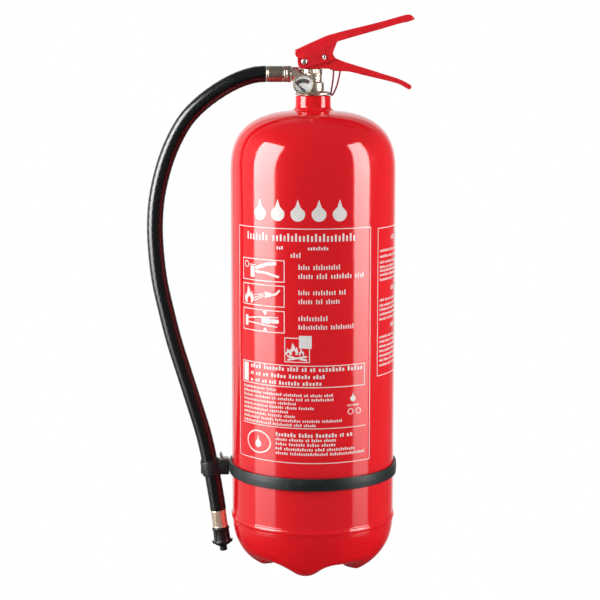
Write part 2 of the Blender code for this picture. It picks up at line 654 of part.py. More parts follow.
def hose_parts():
    """Coupling, hose, crimped ferrules and nozzle."""
    along = (0, -90, 0)
    at = (0, 0, OUTLET_Z)
    coupling = [(2.6, 13.2), (4.3, 13.2), (4.3, 23.8), (8.0, 23.8), (9.0, 24.8), (9.0, 27.6), (8.1, 28.4),
                (8.1, 29.4), (8.9, 30.2), (8.9, 31.9), (8.1, 32.6), (4.4, 32.6), (4.4, 49.8), (2.6, 49.8)]
    new_object("hose_adapter", turned(coupling, 20), "brass", at, along)
    upper = [(4.8, 33.3), (8.4, 33.3), (8.75, 33.8), (8.75, 49.8), (8.4, 50.5), (4.8, 50.5)]
    new_object("ferrule_upper", turned(upper, 24), "brass", at, along)

    route = smooth_route([(x, 0, z) for x, z in HOSE_ROUTE], HOSE_POINTS)
    tilt = math.radians(NOZZLE_TILT)
    start = route[0] + HOSE_STUB * Vector((1, 0, 0))
    end = route[-1] + HOSE_STUB * Vector((math.sin(tilt), 0, -math.cos(tilt)))
    route = [start] + route + [end]
    wire("hose", route, HOSE_R, "black_rubber", resolution=3)

    # The lower pieces are turned about their own Z, which points down the hose.
    low = (FERRULE_LOW[0], 0, FERRULE_LOW[1])
    turn = (0, 180 - NOZZLE_TILT, 0)
    lower = [(4.8, -9.9), (8.2, -9.9), (8.6, -9.4), (8.6, 9.4), (8.2, 9.9), (4.8, 9.9)]
    new_object("ferrule_lower", turned(lower, 24), "brass", low, turn)
    tail = [(2.6, -9.5), (4.4, -9.5), (4.4, 13.5), (2.6, 13.5)]
    new_object("nozzle_tail", turned(tail, 20), "brass", low, turn)

    shell = [(4.7, 10.3), (9.7, 10.3), (9.7, 12.2), (8.0, 13.0), (8.3, 24.6), (9.3, 25.4), (9.6, 26.6),
             (9.2, 28.2), (7.6, 30.2), (4.6, 31.4), (2.3, 31.4), (2.3, 14.2), (4.7, 14.2)]
    nozzle = new_object("nozzle_body", turned(shell, 24), "black_plastic", low, turn)
    for i in range(8):
        rib = block((7.2, -0.6, 12.0), (9.2, 0.6, 26.0))
        join_with(nozzle, tool(rib, low, (0, 180 - NOZZLE_TILT, 0)))
        spin(nozzle.modifiers[-1].object, low, 45 * i)
    for side in (0, 180):
        lug = block((8.4, -1.5, 25.0), (11.3, 1.5, 28.0))
        join_with(nozzle, tool(lug, low, (0, 180 - NOZZLE_TILT, 0)))
        spin(nozzle.modifiers[-1].object, low, side)
    tip = [(1.6, 31.8), (4.2, 31.8), (4.2, 36.4), (3.7, 37.4), (1.6, 37.4)]
    new_object("nozzle_tip", turned(tip, 20), "black_plastic", low, turn)


def spin(obj, centre, angle):
    """Turns a tool about the nozzle's own axis."""
    tilt = Matrix.Rotation(math.radians(180 - NOZZLE_TILT), 4, "Y")
    obj.matrix_basis = Matrix.Translation(mm(*centre)) @ tilt @ Matrix.Rotation(math.radians(angle), 4, "Z")


# ---------------------------------------------------------------- strap

def strap_parts():
    """Rubber band round the cylinder, hose clip and buckle."""
    low, high = STRAP_Z
    band = [(BODY_R + 0.35, low), (STRAP_R, low), (STRAP_R, high), (BODY_R + 0.35, high)]
    new_object("body_strap", turned(band, 60), "black_rubber")

    centre = (CLIP[0], 0, CLIP[1])
    lean = (0, -CLIP_TILT, 0)
    clip = new_object("hose_clip", rod(11.1, -8.2, 8.2, 28), "black_plastic", centre, lean)
    bridge = tool(block((-106.5, -7.5, 101.5), (-STRAP_R - 0.4, 7.5, 116.5)))
    lip = tool(block((-125.4, 1.0, 100.2), (-119.0, 5.0, 117.0)))
    join_with(clip, bridge, lip)
    cut(clip, tool(rod(9.35, -20, 20, 28), centre, lean))

    buckle = [(-103.6, 117.0), (-94.2, 117.0), (-94.2, 119.6), (-100.2, 119.6), (-102.4, 125.2),
              (-104.2, 124.8), (-103.2, 119.6)]
    new_object("strap_buckle", prism(buckle, 5.0), "steel")


clear_scene()
ROOT = bpy.data.objects.new("root_frame", None)
bpy.context.scene.collection.objects.link(ROOT)
ROOT.location = mm(AXIS_X, 0, 0)

cylinder_body()
bottom_cap()
neck_boss()
ring_seal("neck_o_ring", 15.9, 0.75, 519.7, 24)
valve_body()
valve_insides()
dip_tube()
carry_handle()
squeeze_lever()
handle_hardware()
tamper_seal()
gauge()
hose_parts()
strap_parts()
bpy.context.view_layer.update()
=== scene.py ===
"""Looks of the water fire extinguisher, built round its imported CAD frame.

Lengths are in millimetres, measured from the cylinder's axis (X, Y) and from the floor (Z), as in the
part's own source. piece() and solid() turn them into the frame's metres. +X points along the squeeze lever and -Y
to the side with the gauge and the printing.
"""
import json
import math

import bmesh
import bpy
from mathutils import Matrix, Vector

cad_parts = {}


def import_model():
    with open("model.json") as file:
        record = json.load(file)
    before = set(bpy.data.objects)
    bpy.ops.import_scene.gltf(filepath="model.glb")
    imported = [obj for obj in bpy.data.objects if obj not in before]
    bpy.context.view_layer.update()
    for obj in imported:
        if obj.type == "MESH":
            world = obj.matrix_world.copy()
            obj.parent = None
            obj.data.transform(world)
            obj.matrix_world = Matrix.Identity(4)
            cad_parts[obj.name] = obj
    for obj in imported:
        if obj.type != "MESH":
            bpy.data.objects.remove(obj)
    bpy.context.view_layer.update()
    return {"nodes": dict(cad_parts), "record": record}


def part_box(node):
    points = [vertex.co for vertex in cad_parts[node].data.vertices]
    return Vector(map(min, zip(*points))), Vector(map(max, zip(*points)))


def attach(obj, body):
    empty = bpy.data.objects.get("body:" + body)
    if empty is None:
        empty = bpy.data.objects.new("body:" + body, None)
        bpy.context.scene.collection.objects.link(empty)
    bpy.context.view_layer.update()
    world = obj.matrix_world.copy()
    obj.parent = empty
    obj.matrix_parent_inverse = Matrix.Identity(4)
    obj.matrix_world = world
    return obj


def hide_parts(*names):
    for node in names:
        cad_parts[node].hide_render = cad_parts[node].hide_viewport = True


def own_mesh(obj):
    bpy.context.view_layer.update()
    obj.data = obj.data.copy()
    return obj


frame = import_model()
SLOTS = {part["node"]: part["material_slot"] for part in frame["record"]["subparts"]}

MM = 0.001
BOX_LOW, BOX_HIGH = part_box("cylinder_body")
AXIS_X = (BOX_LOW.x + BOX_HIGH.x) / 2        # metres, cylinder axis in the frame
TO_FRAME = Matrix.Translation((AXIS_X, 0, 0)) @ Matrix.Diagonal((MM, MM, MM, 1))

# Cylinder
BODY_R = 90.0
WALL = 1.5
SEAM_Z = 58.0
SHOULDER_Z = 435.5
DOME_H = 70.5
DOME_POWER = 2.77
NECK_R = 19.1
NECK_TOP_Z = 521.3
ROUND = 192                  # segments round the cylinder

# Five-footed bottom
FEET = 5
FOOT_TURN = -9.3
PAD_INNER_R = 49.5
PAD_OUTER_R = 57.5
VALLEY_HALF_ANGLE = 30.0     # from a foot's middle to the flat of the valley
KNUCKLE_H = 69.5
KNUCKLE_POWER = 2.37
CENTRE_Z = 22.0
VALLEY_LIFT = 13.0

# Valve and handles
FLANGE_Z = 522.0
FLANGE_R = 19.2
COLLAR_X = -1.6              # the knurled collar sits a little off the axis
OUTLET_Z = 544.4
OUTLET_END_X = -23.5
WEB_Z = 550.0
SHEET = 1.5
LEVER_HALF_WIDTH = 13.0
HANDLE_HALF_WIDTH = 11.2
PIVOT = (-9.7, 557.6)
PIN = (11.9, 562.8)
PIN_R = 1.9
LEVER_TRAVEL = 10.0
SEAL_Y = -7.0
SEAL_HOLES = (22.0, 29.0)

# Gauge
GAUGE_X = -10.7
GAUGE_Z = 533.9
DIAL_R = 8.7                 # what shows of the dial inside the rim
NEEDLE_DROP = 6.5
NEEDLE_REST = 45.0
NEEDLE_FRONT = 29.2

# Hose and nozzle
HOSE_R = 8.75
HOSE_ROUTE = [
    (-54.0, 544.4), (-62.0, 543.7), (-72.0, 541.2), (-83.0, 537.1), (-95.0, 531.0), (-110.0, 521.4),
    (-124.0, 510.2), (-136.6, 497.0), (-147.0, 481.0), (-157.0, 460.0), (-165.0, 436.0),
    (-171.0, 408.0), (-173.2, 380.0), (-172.4, 352.0), (-168.7, 318.0), (-162.0, 286.0),
    (-153.9, 252.6), (-144.4, 221.0), (-133.3, 185.0), (-121.6, 145.0), (-114.0, 109.0),
    (-111.0, 92.0), (-108.7, 77.5), (-107.4, 69.0), (-106.6, 62.9)]
HOSE_STUB = 3.1
HOSE_SIDES = 72
NOZZLE_TILT = 7.2
FERRULE_LOW = (-104.95, 49.5)

# Strap
STRAP_Z = (105.0, 118.0)
STRAP_R = 93.2
CLIP = (-113.7, 108.5)
CLIP_TILT = 11.0


# ---------------------------------------------------------------- camera and stage

CAMERA_AT = (-0.0056, -1.742, 0.550)
CAMERA_PITCH = 81.75         # degrees from straight down
CAMERA_LENS = 95.7
BACKDROP = (1.0, 1.0, 1.0, 1.0)


def camera():
    data = bpy.data.cameras.new("camera")
    data.sensor_width = 36.0
    data.lens = CAMERA_LENS
    obj = bpy.data.objects.new("camera", data)
    bpy.context.scene.collection.objects.link(obj)
    obj.location = CAMERA_AT
    obj.rotation_euler = (math.radians(CAMERA_PITCH), 0, 0)
    bpy.context.scene.camera = obj


def graph(tree):
    """A function that adds a node to a tree, with its settings and with inputs by name or number."""
    def add(kind, inputs=None, **settings):
        node = tree.nodes.new(kind)
        for name, value in settings.items():
            setattr(node, name, value)
        for name, value in (inputs or {}).items():
            socket = node.inputs[name]
            if isinstance(value, bpy.types.NodeSocket):
                tree.links.new(value, socket)
            else:
                socket.default_value = value
        return node
    return add


def world():
    """Camera rays see a plain pale backdrop. Gloss sees a dark studio with a pale wall behind."""
    scene_world = bpy.data.worlds.new("studio")
    bpy.context.scene.world = scene_world
    scene_world.use_nodes = True
    tree = scene_world.node_tree
    tree.nodes.clear()
    add = graph(tree)
    ray = add("ShaderNodeLightPath").outputs
    direction = add("ShaderNodeTexCoord").outputs["Generated"]
    parts = add("ShaderNodeSeparateXYZ", {0: direction}).outputs
    right = add("ShaderNodeMath", {0: parts["X"], 1: 0.0}, operation="MAXIMUM").outputs[0]
    depth = add("ShaderNodeMath", {0: right, 1: -0.45, 2: parts["Y"]}, operation="MULTIPLY_ADD").outputs[0]
    behind = add("ShaderNodeMapRange", {"Value": depth, "From Min": 0.38, "From Max": 0.92, "To Min": 0.14,
                                        "To Max": 1.0}, interpolation_type="SMOOTHSTEP").outputs[0]
    left = add("ShaderNodeMapRange", {"Value": parts["X"], "From Min": -0.6, "From Max": -0.95, "To Min": 0.0,
                                      "To Max": 0.5}, interpolation_type="SMOOTHSTEP").outputs[0]
    around = add("ShaderNodeMath", {0: behind, 1: left}, operation="ADD").outputs[0]
    edge = add("ShaderNodeMath", {0: parts["Y"], 1: 0.83, 2: 0.03}, operation="COMPARE").outputs[0]
    line = add("ShaderNodeMath", {0: edge, 1: -0.5, 2: 1.0}, operation="MULTIPLY_ADD").outputs[0]
    below = add("ShaderNodeMapRange", {"Value": parts["Z"], "From Min": -0.55, "From Max": -0.2, "To Min": 0.10,
                                       "To Max": 1.0}, interpolation_type="SMOOTHSTEP").outputs[0]
    lined = add("ShaderNodeMath", {0: around, 1: line}, operation="MULTIPLY").outputs[0]
    gloss = add("ShaderNodeMath", {0: lined, 1: below}, operation="MULTIPLY").outputs[0]
    seen = add("ShaderNodeMix", {"Factor": ray["Is Glossy Ray"], "A": 0.145, "B": gloss}).outputs[0]
    final = add("ShaderNodeMix", {"Factor": ray["Is Camera Ray"], "A": seen, "B": 1.0}).outputs[0]
    background = add("ShaderNodeBackground", {"Color": BACKDROP, "Strength": final})
    add("ShaderNodeOutputWorld", {"Surface": background.outputs[0]})


def stage_material(name):
    mat = bpy.data.materials.new(name)
    mat.use_nodes = True
    mat.node_tree.nodes.clear()
    return mat, graph(mat.node_tree)


def floor():
    """A wide card that lights the object from below and looks like the white backdrop."""
    bm = bmesh.new()
    bmesh.ops.create_grid(bm, x_segments=8, y_segments=8, size=6.0)
    mesh = bpy.data.meshes.new("floor")
    bm.to_mesh(mesh)
    bm.free()
    obj = bpy.data.objects.new("floor", mesh)
    bpy.context.scene.collection.objects.link(obj)
    mat, add = stage_material("floor")
    noise = add("ShaderNodeTexNoise", {"Scale": 3.0})
    tone = add("ShaderNodeMapRange", {"Value": noise.outputs["Fac"], "To Min": 0.80, "To Max": 0.86}).outputs[0]
    colour = add("ShaderNodeCombineColor", {"Red": tone, "Green": tone, "Blue": tone}).outputs[0]
    card = add("ShaderNodeBsdfDiffuse", {"Color": colour})
    white = add("ShaderNodeEmission", {"Color": BACKDROP, "Strength": 1.0})
    seen = add("ShaderNodeLightPath").outputs["Is Camera Ray"]
    both = add("ShaderNodeMixShader", {0: seen, 1: card.outputs[0], 2: white.outputs[0]})
    add("ShaderNodeOutputMaterial", {"Surface": both.outputs[0]})
    mesh.materials.append(mat)
    obj.visible_glossy = False


def strip(name, azimuth, half_angle, top_glow, foot_glow, flare=1.0, distance=1.3, low=-0.45, high=1.45):
    """A tall strip light that only gloss sees, brightest at its top. Azimuth 0 is -Y, towards +X.

    Above the height that the cylinder's wall reflects, one edge flares out.
    """
    bm = bmesh.new()
    half = distance * math.tan(math.radians(half_angle))
    angle = math.radians(azimuth)
    centre = Vector((AXIS_X + distance * math.sin(angle), -distance * math.cos(angle), 0))
    side = Vector((math.cos(angle), math.sin(angle), 0)) * half
    corners = [centre - side + Vector((0, 0, low)), centre + side + Vector((0, 0, low)),
               centre + side + Vector((0, 0, 0.42)), centre + flare * side + Vector((0, 0, high)),
               centre - side + Vector((0, 0, high))]
    bm.faces.new([bm.verts.new(corner) for corner in corners])
    mesh = bpy.data.meshes.new(name)
    bm.to_mesh(mesh)
    bm.free()
    obj = bpy.data.objects.new(name, mesh)
    bpy.context.scene.collection.objects.link(obj)
    mat, add = stage_material(name)
    height = add("ShaderNodeSeparateXYZ", {0: add("ShaderNodeTexCoord").outputs["Object"]}).outputs["Z"]
    share = add("ShaderNodeMapRange", {"Value": height, "From Min": low, "From Max": 0.42}).outputs[0]
    curve = add("ShaderNodeMath", {0: share, 1: 1.7}, operation="POWER").outputs[0]
    level = add("ShaderNodeMapRange", {"Value": curve, "To Min": foot_glow, "To Max": top_glow}).outputs[0]
    glow = add("ShaderNodeEmission", {"Color": (1.0, 0.985, 0.97, 1.0), "Strength": level})
    add("ShaderNodeOutputMaterial", {"Surface": glow.outputs[0]})
    mesh.materials.append(mat)
    obj.visible_camera = False
    obj.visible_diffuse = False
    obj.visible_shadow = False


def fill_light(name, azimuth, elevation, size, power, distance=1.8):
    """A soft area light for the matt shading, which gloss doesn't see."""
    data = bpy.data.lights.new(name, "AREA")
    data.shape = "DISK"
    data.size = size
    data.energy = power
    obj = bpy.data.objects.new(name, data)
    bpy.context.scene.collection.objects.link(obj)
    turn = math.radians(azimuth)
    rise = math.radians(elevation)
    aim = Vector((AXIS_X, 0, 0.3))
    away = Vector((math.sin(turn) * math.cos(rise), -math.cos(turn) * math.cos(rise), math.sin(rise)))
    obj.location = aim + distance * away
    obj.rotation_euler = away.to_track_quat("Z", "Y").to_euler()
    obj.visible_glossy = False


def valve_spot():
    """A narrow spot from the front that lifts the gauge's dial out of its rim's shade."""
    data = bpy.data.lights.new("valve_spot", "SPOT")
    data.energy = 42
    data.spot_size = math.radians(1.5)
    data.spot_blend = 1.0
    data.shadow_soft_size = 0.01
    obj = bpy.data.objects.new("valve_spot", data)
    bpy.context.scene.collection.objects.link(obj)
    aim = Vector((AXIS_X + GAUGE_X * MM, -0.03, GAUGE_Z * MM))
    obj.location = aim + Vector((-0.12, -1.5, 0.22))
    obj.rotation_euler = (obj.location - aim).to_track_quat("Z", "Y").to_euler()
    obj.visible_glossy = False


def studio():
    camera()
    world()
    floor()
    strip("strip_left", -70, 17.0, 16.0, 1.5, 1.5)
    strip("strip_right", 69, 12.6, 12.6, 1.3)
    fill_light("fill_left", -70, 26, 0.9, 31)
    fill_light("fill_right", 80, 12, 0.9, 27)
    fill_light("fill_top", 0, 80, 1.2, 3)
    valve_spot()
    view = bpy.context.scene.view_settings
    view.view_transform = "Standard"


# ---------------------------------------------------------------- materials

MATERIALS = {}


def surface(name, colour, roughness, metallic=0.0, **sockets):
    """A new Principled material and a function that adds nodes to it."""
    mat = bpy.data.materials.new(name)
    mat.use_nodes = True
    shader = mat.node_tree.nodes["Principled BSDF"]
    shader.inputs["Base Color"].default_value = (*colour, 1.0)
    shader.inputs["Roughness"].default_value = roughness
    shader.inputs["Metallic"].default_value = metallic
    for socket, value in sockets.items():
        shader.inputs[socket.replace("_", " ").title()].default_value = value
    MATERIALS[name] = mat
    return mat, graph(mat.node_tree), shader


def noise(add, scale, detail=3.0, roughness=0.5, stretch=None):
    """Noise in object space, where one unit is a metre."""
    place_at = add("ShaderNodeTexCoord").outputs["Object"]
    if stretch:
        place_at = add("ShaderNodeMapping", {"Vector": place_at, "Scale": stretch}).outputs[0]
    return add("ShaderNodeTexNoise", {"Vector": place_at, "Scale": scale, "Detail": detail,
                                      "Roughness": roughness}).outputs["Fac"]


def ramp(add, value, low, high, near=0.3, far=0.7):
    return add("ShaderNodeMapRange", {"Value": value, "From Min": near, "From Max": far, "To Min": low,
                                      "To Max": high}).outputs[0]


def mix_colours(add, factor, first, second):
    """Two colours mixed by a factor from 0 to 1."""
    node = add("ShaderNodeMix", data_type="RGBA")
    node.inputs[6].default_value = (*first, 1.0)
    node.inputs[7].default_value = (*second, 1.0)
    node.id_data.links.new(factor, node.inputs[0])
    return node.outputs[2]


def wire_up(shader, base=None, roughness=None, bump=None, distance=0.0002, strength=0.3, add=None):
    """Links a colour, a roughness and a bump height to a Principled shader."""
    links = shader.id_data.links
    if base is not None:
        links.new(base, shader.inputs["Base Color"])
    if roughness is not None:
        links.new(roughness, shader.inputs["Roughness"])
    if bump is not None:
        node = add("ShaderNodeBump", {"Height": bump, "Distance": distance, "Strength": strength})
        links.new(node.outputs[0], shader.inputs["Normal"])


def make_materials():
    # Powder coat with a little orange peel, and cloudy patches in its gloss.
    mat, add, shader = surface("red_paint", (0.78, 0.010, 0.017), 0.10)
    clouds = noise(add, 9.0, 4.0)
    base = mix_colours(add, ramp(add, clouds, 0.0, 1.0), (0.80, 0.0105, 0.018), (0.74, 0.0085, 0.015))
    peel = noise(add, 190.0, 2.0, 0.4)
    wire_up(shader, base, ramp(add, noise(add, 30.0, 5.0), 0.075, 0.13), peel, 0.00012, 0.12, add)

    # Red paint of the pressed handles, rougher than the cylinder's. Its red is also painted lighter than the
    # cylinder's: painted light that stands in for more light falling on the handles.
    mat, add, shader = surface("handle_paint_with_painted_light", (0.84, 0.012, 0.022), 0.22)
    base = mix_colours(add, ramp(add, noise(add, 40.0, 4.0), 0.0, 1.0), (0.88, 0.013, 0.024), (0.76, 0.011, 0.020))
    wire_up(shader, base, ramp(add, noise(add, 90.0, 5.0), 0.20, 0.32), noise(add, 300.0, 3.0), 0.00008, 0.10, add)

    mat, add, shader = surface("red_plastic", (0.26, 0.006, 0.03), 0.5)
    shader.inputs["Specular IOR Level"].default_value = 0.25
    base = mix_colours(add, ramp(add, noise(add, 120.0), 0.0, 1.0), (0.30, 0.007, 0.034), (0.22, 0.005, 0.026))
    wire_up(shader, base, ramp(add, noise(add, 400.0), 0.42, 0.56), noise(add, 900.0), 0.00005, 0.3, add)

    mat, add, shader = surface("nickel", (0.56, 0.50, 0.42), 0.34, 0.85)
    base = mix_colours(add, ramp(add, noise(add, 70.0, 5.0), 0.0, 1.0), (0.56, 0.50, 0.41), (0.42, 0.35, 0.28))
    wire_up(shader, base, ramp(add, noise(add, 260.0, 5.0), 0.28, 0.42),
            noise(add, 420.0, 4.0, stretch=(1, 1, 3)), 0.00002, 0.05, add)

    mat, add, shader = surface("gauge_metal", (0.40, 0.36, 0.29), 0.5, 0.75)
    base = mix_colours(add, ramp(add, noise(add, 200.0, 4.0), 0.0, 1.0), (0.27, 0.25, 0.20), (0.19, 0.17, 0.13))
    wire_up(shader, base, ramp(add, noise(add, 300.0, 5.0), 0.50, 0.64), noise(add, 500.0), 0.00004, 0.15, add)

    mat, add, shader = surface("dull_brass", (0.50, 0.42, 0.34), 0.24, 0.85)
    base = mix_colours(add, ramp(add, noise(add, 90.0, 5.0), 0.0, 1.0), (0.46, 0.41, 0.34), (0.34, 0.28, 0.22))
    wire_up(shader, base, ramp(add, noise(add, 260.0, 5.0), 0.18, 0.32),
            noise(add, 520.0, 4.0, stretch=(3, 1, 1)), 0.00002, 0.05, add)

    mat, add, shader = surface("brass", (0.90, 0.76, 0.60), 0.2, 0.6)
    base = mix_colours(add, ramp(add, noise(add, 80.0, 5.0), 0.0, 1.0), (0.96, 0.83, 0.67), (0.86, 0.68, 0.50))
    wire_up(shader, base, ramp(add, noise(add, 240.0, 5.0), 0.13, 0.28),
            noise(add, 500.0, 4.0, stretch=(3, 1, 1)), 0.00002, 0.05, add)

    mat, add, shader = surface("steel", (0.50, 0.49, 0.46), 0.36, 1.0)
    base = mix_colours(add, ramp(add, noise(add, 90.0, 4.0), 0.0, 1.0), (0.52, 0.51, 0.47), (0.38, 0.37, 0.34))
    wire_up(shader, base, ramp(add, noise(add, 300.0, 5.0), 0.30, 0.44), noise(add, 700.0), 0.00004, 0.3, add)

    mat, add, shader = surface("black_rubber", (0.010, 0.012, 0.012), 0.40)
    base = mix_colours(add, ramp(add, noise(add, 60.0, 5.0), 0.0, 1.0), (0.003, 0.006, 0.007), (0.007, 0.011, 0.012))
    wire_up(shader, base, ramp(add, noise(add, 180.0, 5.0), 0.34, 0.52), noise(add, 1400.0, 3.0), 0.00006, 0.3, add)

    mat, add, shader = surface("hose_rubber", (0.004, 0.0045, 0.006), 0.24)
    shader.inputs["IOR"].default_value = 1.58
    base = mix_colours(add, ramp(add, noise(add, 300.0, 4.0), 0.0, 1.0), (0.0012, 0.0016, 0.0024), (0.004, 0.0045, 0.006))
    wire_up(shader, base, ramp(add, noise(add, 220.0, 4.0), 0.20, 0.27), noise(add, 1800.0, 3.0), 0.00004, 0.25, add)

    mat, add, shader = surface("black_plastic", (0.011, 0.011, 0.012), 0.38)
    base = mix_colours(add, ramp(add, noise(add, 120.0, 4.0), 0.0, 1.0), (0.008, 0.008, 0.009), (0.016, 0.016, 0.018))
    wire_up(shader, base, ramp(add, noise(add, 260.0, 4.0), 0.30, 0.46), noise(add, 1500.0, 3.0), 0.00005, 0.35, add)

    mat, add, shader = surface("white_plastic", (0.80, 0.80, 0.77), 0.4)
    base = mix_colours(add, ramp(add, noise(add, 80.0), 0.0, 1.0), (0.82, 0.82, 0.79), (0.74, 0.74, 0.70))
    wire_up(shader, base, None, noise(add, 900.0), 0.00005, 0.3, add)

    mat, add, shader = surface("dial_white", (0.80, 0.82, 0.82), 0.45)
    base = mix_colours(add, ramp(add, noise(add, 500.0), 0.0, 1.0), (0.90, 0.92, 0.91), (0.84, 0.86, 0.86))
    wire_up(shader, base, ramp(add, noise(add, 700.0), 0.4, 0.5))

    mat, add, shader = surface("needle_black", (0.015, 0.015, 0.017), 0.4)
    base = mix_colours(add, ramp(add, noise(add, 900.0), 0.0, 1.0), (0.012, 0.012, 0.014), (0.024, 0.024, 0.026))
    wire_up(shader, base, ramp(add, noise(add, 900.0), 0.35, 0.5))

    mat, add, shader = surface("clear_lens", (0.95, 0.97, 0.97), 0.03, alpha=0.03)
    wire_up(shader, None, ramp(add, noise(add, 200.0), 0.02, 0.06))

    # Screen-printed ink, slightly uneven in cover.
    mat, add, shader = surface("ink_white", (0.82, 0.80, 0.78), 0.3)
    base = mix_colours(add, ramp(add, noise(add, 900.0, 5.0), 0.0, 1.0), (0.86, 0.84, 0.82), (0.78, 0.72, 0.70))
    wire_up(shader, base, ramp(add, noise(add, 500.0, 4.0), 0.22, 0.38))

    mat, add, shader = surface("ink_green", (0.004, 0.09, 0.045), 0.4)
    base = mix_colours(add, ramp(add, noise(add, 900.0), 0.0, 1.0), (0.001, 0.070, 0.026), (0.001, 0.050, 0.018))
    wire_up(shader, base)

    mat, add, shader = surface("ink_red", (0.20, 0.012, 0.016), 0.4)
    base = mix_colours(add, ramp(add, noise(add, 900.0), 0.0, 1.0), (0.075, 0.002, 0.006), (0.050, 0.002, 0.004))
    wire_up(shader, base)


# ---------------------------------------------------------------- mesh tools

def piece(name, bm, finish, nodes=(), body="root", sharp=35.0, at=None):
    """Finishes a mesh in millimetres as a piece of the object that stands for some CAD nodes."""
    if at:
        bm.transform(at)
    bmesh.ops.recalc_face_normals(bm, faces=bm.faces)
    bm.transform(TO_FRAME)
    mesh = bpy.data.meshes.new(name)
    bm.to_mesh(mesh)
    bm.free()
    obj = bpy.data.objects.new(name, mesh)
    bpy.context.scene.collection.objects.link(obj)
    return dress(obj, finish, nodes, body, sharp)


def dress(obj, finish, nodes=(), body="root", sharp=35.0):
    mesh = obj.data
    mesh.shade_smooth()
    mesh.set_sharp_from_angle(angle=math.radians(sharp))
    mesh.materials.clear()
    mesh.materials.append(MATERIALS[finish])
    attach(obj, body)
    if nodes:
        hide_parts(*nodes)
    return obj


def applied(obj):
    """The object with its modifiers applied, and the hidden tools removed."""
    bpy.context.view_layer.update()
    result = bpy.data.meshes.new_from_object(obj.evaluated_get(bpy.context.evaluated_depsgraph_get()))
    for step in obj.modifiers:
        if step.type == "BOOLEAN":
            bpy.data.objects.remove(step.object)
    obj.modifiers.clear()
    obj.data = result
    return obj


def solid(name, bm, at=None):
    """A plain mesh object in the frame's metres, as a base or a tool for booleans."""
    if at:
        bm.transform(at)
    bmesh.ops.recalc_face_normals(bm, faces=bm.faces)
    bm.transform(TO_FRAME)
    mesh = bpy.data.meshes.new(name)
    bm.to_mesh(mesh)
    bm.free()
    obj = bpy.data.objects.new(name, mesh)
    bpy.context.scene.collection.objects.link(obj)
    return obj


def combine(obj, operation, *tools):
    for other in tools:
        step = obj.modifiers.new(operation.lower(), "BOOLEAN")
        step.operation = operation
        step.solver = "EXACT"
        step.object = other


def soften(obj, width, segments=3, angle=30.0):
    """Rounds the edges that remain sharp, in millimetres."""
    step = obj.modifiers.new("soft_edges", "BEVEL")
    step.width = width * MM
    step.segments = segments
    step.limit_method = "ANGLE"
    step.angle_limit = math.radians(angle)
    step.use_clamp_overlap = False


def round_corners(points, radius, steps=4, closed=False):
    """A chain of 2-D points with its corners rounded off."""
    count = len(points)
    result = []
    for i, point in enumerate(points):
        if not closed and i in (0, count - 1):
            result.append(point)
            continue
        here = Vector(point)
        before = Vector(points[i - 1]) - here
        after = Vector(points[(i + 1) % count]) - here
        reach = min(radius, 0.45 * before.length, 0.45 * after.length)
        first = here + before.normalized() * reach
        last = here + after.normalized() * reach
        for k in range(steps + 1):
            t = k / steps
            bent = first * (1 - t) ** 2 + here * (2 * t * (1 - t)) + last * t ** 2
            result.append(tuple(bent))
    return result


def turned(profile, steps, closed=True, shape=None):
    """A profile of (radius, height) points turned about Z. shape(radius, height, angle) may vary the radius."""
    bm = bmesh.new()
    rings = []
    for radius, height in profile:
        if radius == 0:
            rings.append([bm.verts.new((0, 0, height))])
            continue
        ring = []
        for i in range(steps):
            angle = math.tau * i / steps
            r = shape(radius, height, angle) if shape else radius
            ring.append(bm.verts.new((r * math.cos(angle), r * math.sin(angle), height)))
        rings.append(ring)
    pairs = list(zip(rings, rings[1:]))
    if closed:
        pairs.append((rings[-1], rings[0]))
    for lower, upper in pairs:
        join_rings(bm, lower, upper)
    return bm


def join_rings(bm, lower, upper):
    steps = max(len(lower), len(upper))
    for i in range(steps):
        j = (i + 1) % steps
        if len(lower) == 1 and len(upper) == 1:
            return
        if len(lower) == 1:
            bm.faces.new((lower[0], upper[i], upper[j]))
        elif len(upper) == 1:
            bm.faces.new((lower[i], lower[j], upper[0]))
        else:
            bm.faces.new((lower[i], lower[j], upper[j], upper[i]))


def rod(radius, low, high, steps=48):
    return turned([(0, low), (radius, low), (radius, high), (0, high)], steps, closed=False)


def prism(outline, half_width):
    """An outline of (x, z) points as a slab across Y."""
    bm = bmesh.new()
    front = [bm.verts.new((x, -half_width, z)) for x, z in outline]
    back = [bm.verts.new((x, half_width, z)) for x, z in outline]
    bm.faces.new(front)
    bm.faces.new(back[::-1])
    for i in range(len(outline)):
        j = (i + 1) % len(outline)
        bm.faces.new((front[i], back[i], back[j], front[j]))
    return bm


def block(low, high):
    bm = bmesh.new()
    bmesh.ops.create_cube(bm, size=1)
    for vert in bm.verts:
        vert.co = [a + (b - a) * (c + 0.5) for a, b, c in zip(low, high, vert.co)]
    return bm


def arc(centre, radius, start, end, count):
    """Points of an arc in a plane, angles in degrees."""
    points = []
    for i in range(count):
        angle = math.radians(start + (end - start) * i / (count - 1))
        points.append((centre[0] + radius * math.cos(angle), centre[1] + radius * math.sin(angle)))
    return points


def turn_about(axis, degrees):
    return Matrix.Rotation(math.radians(degrees), 4, axis)


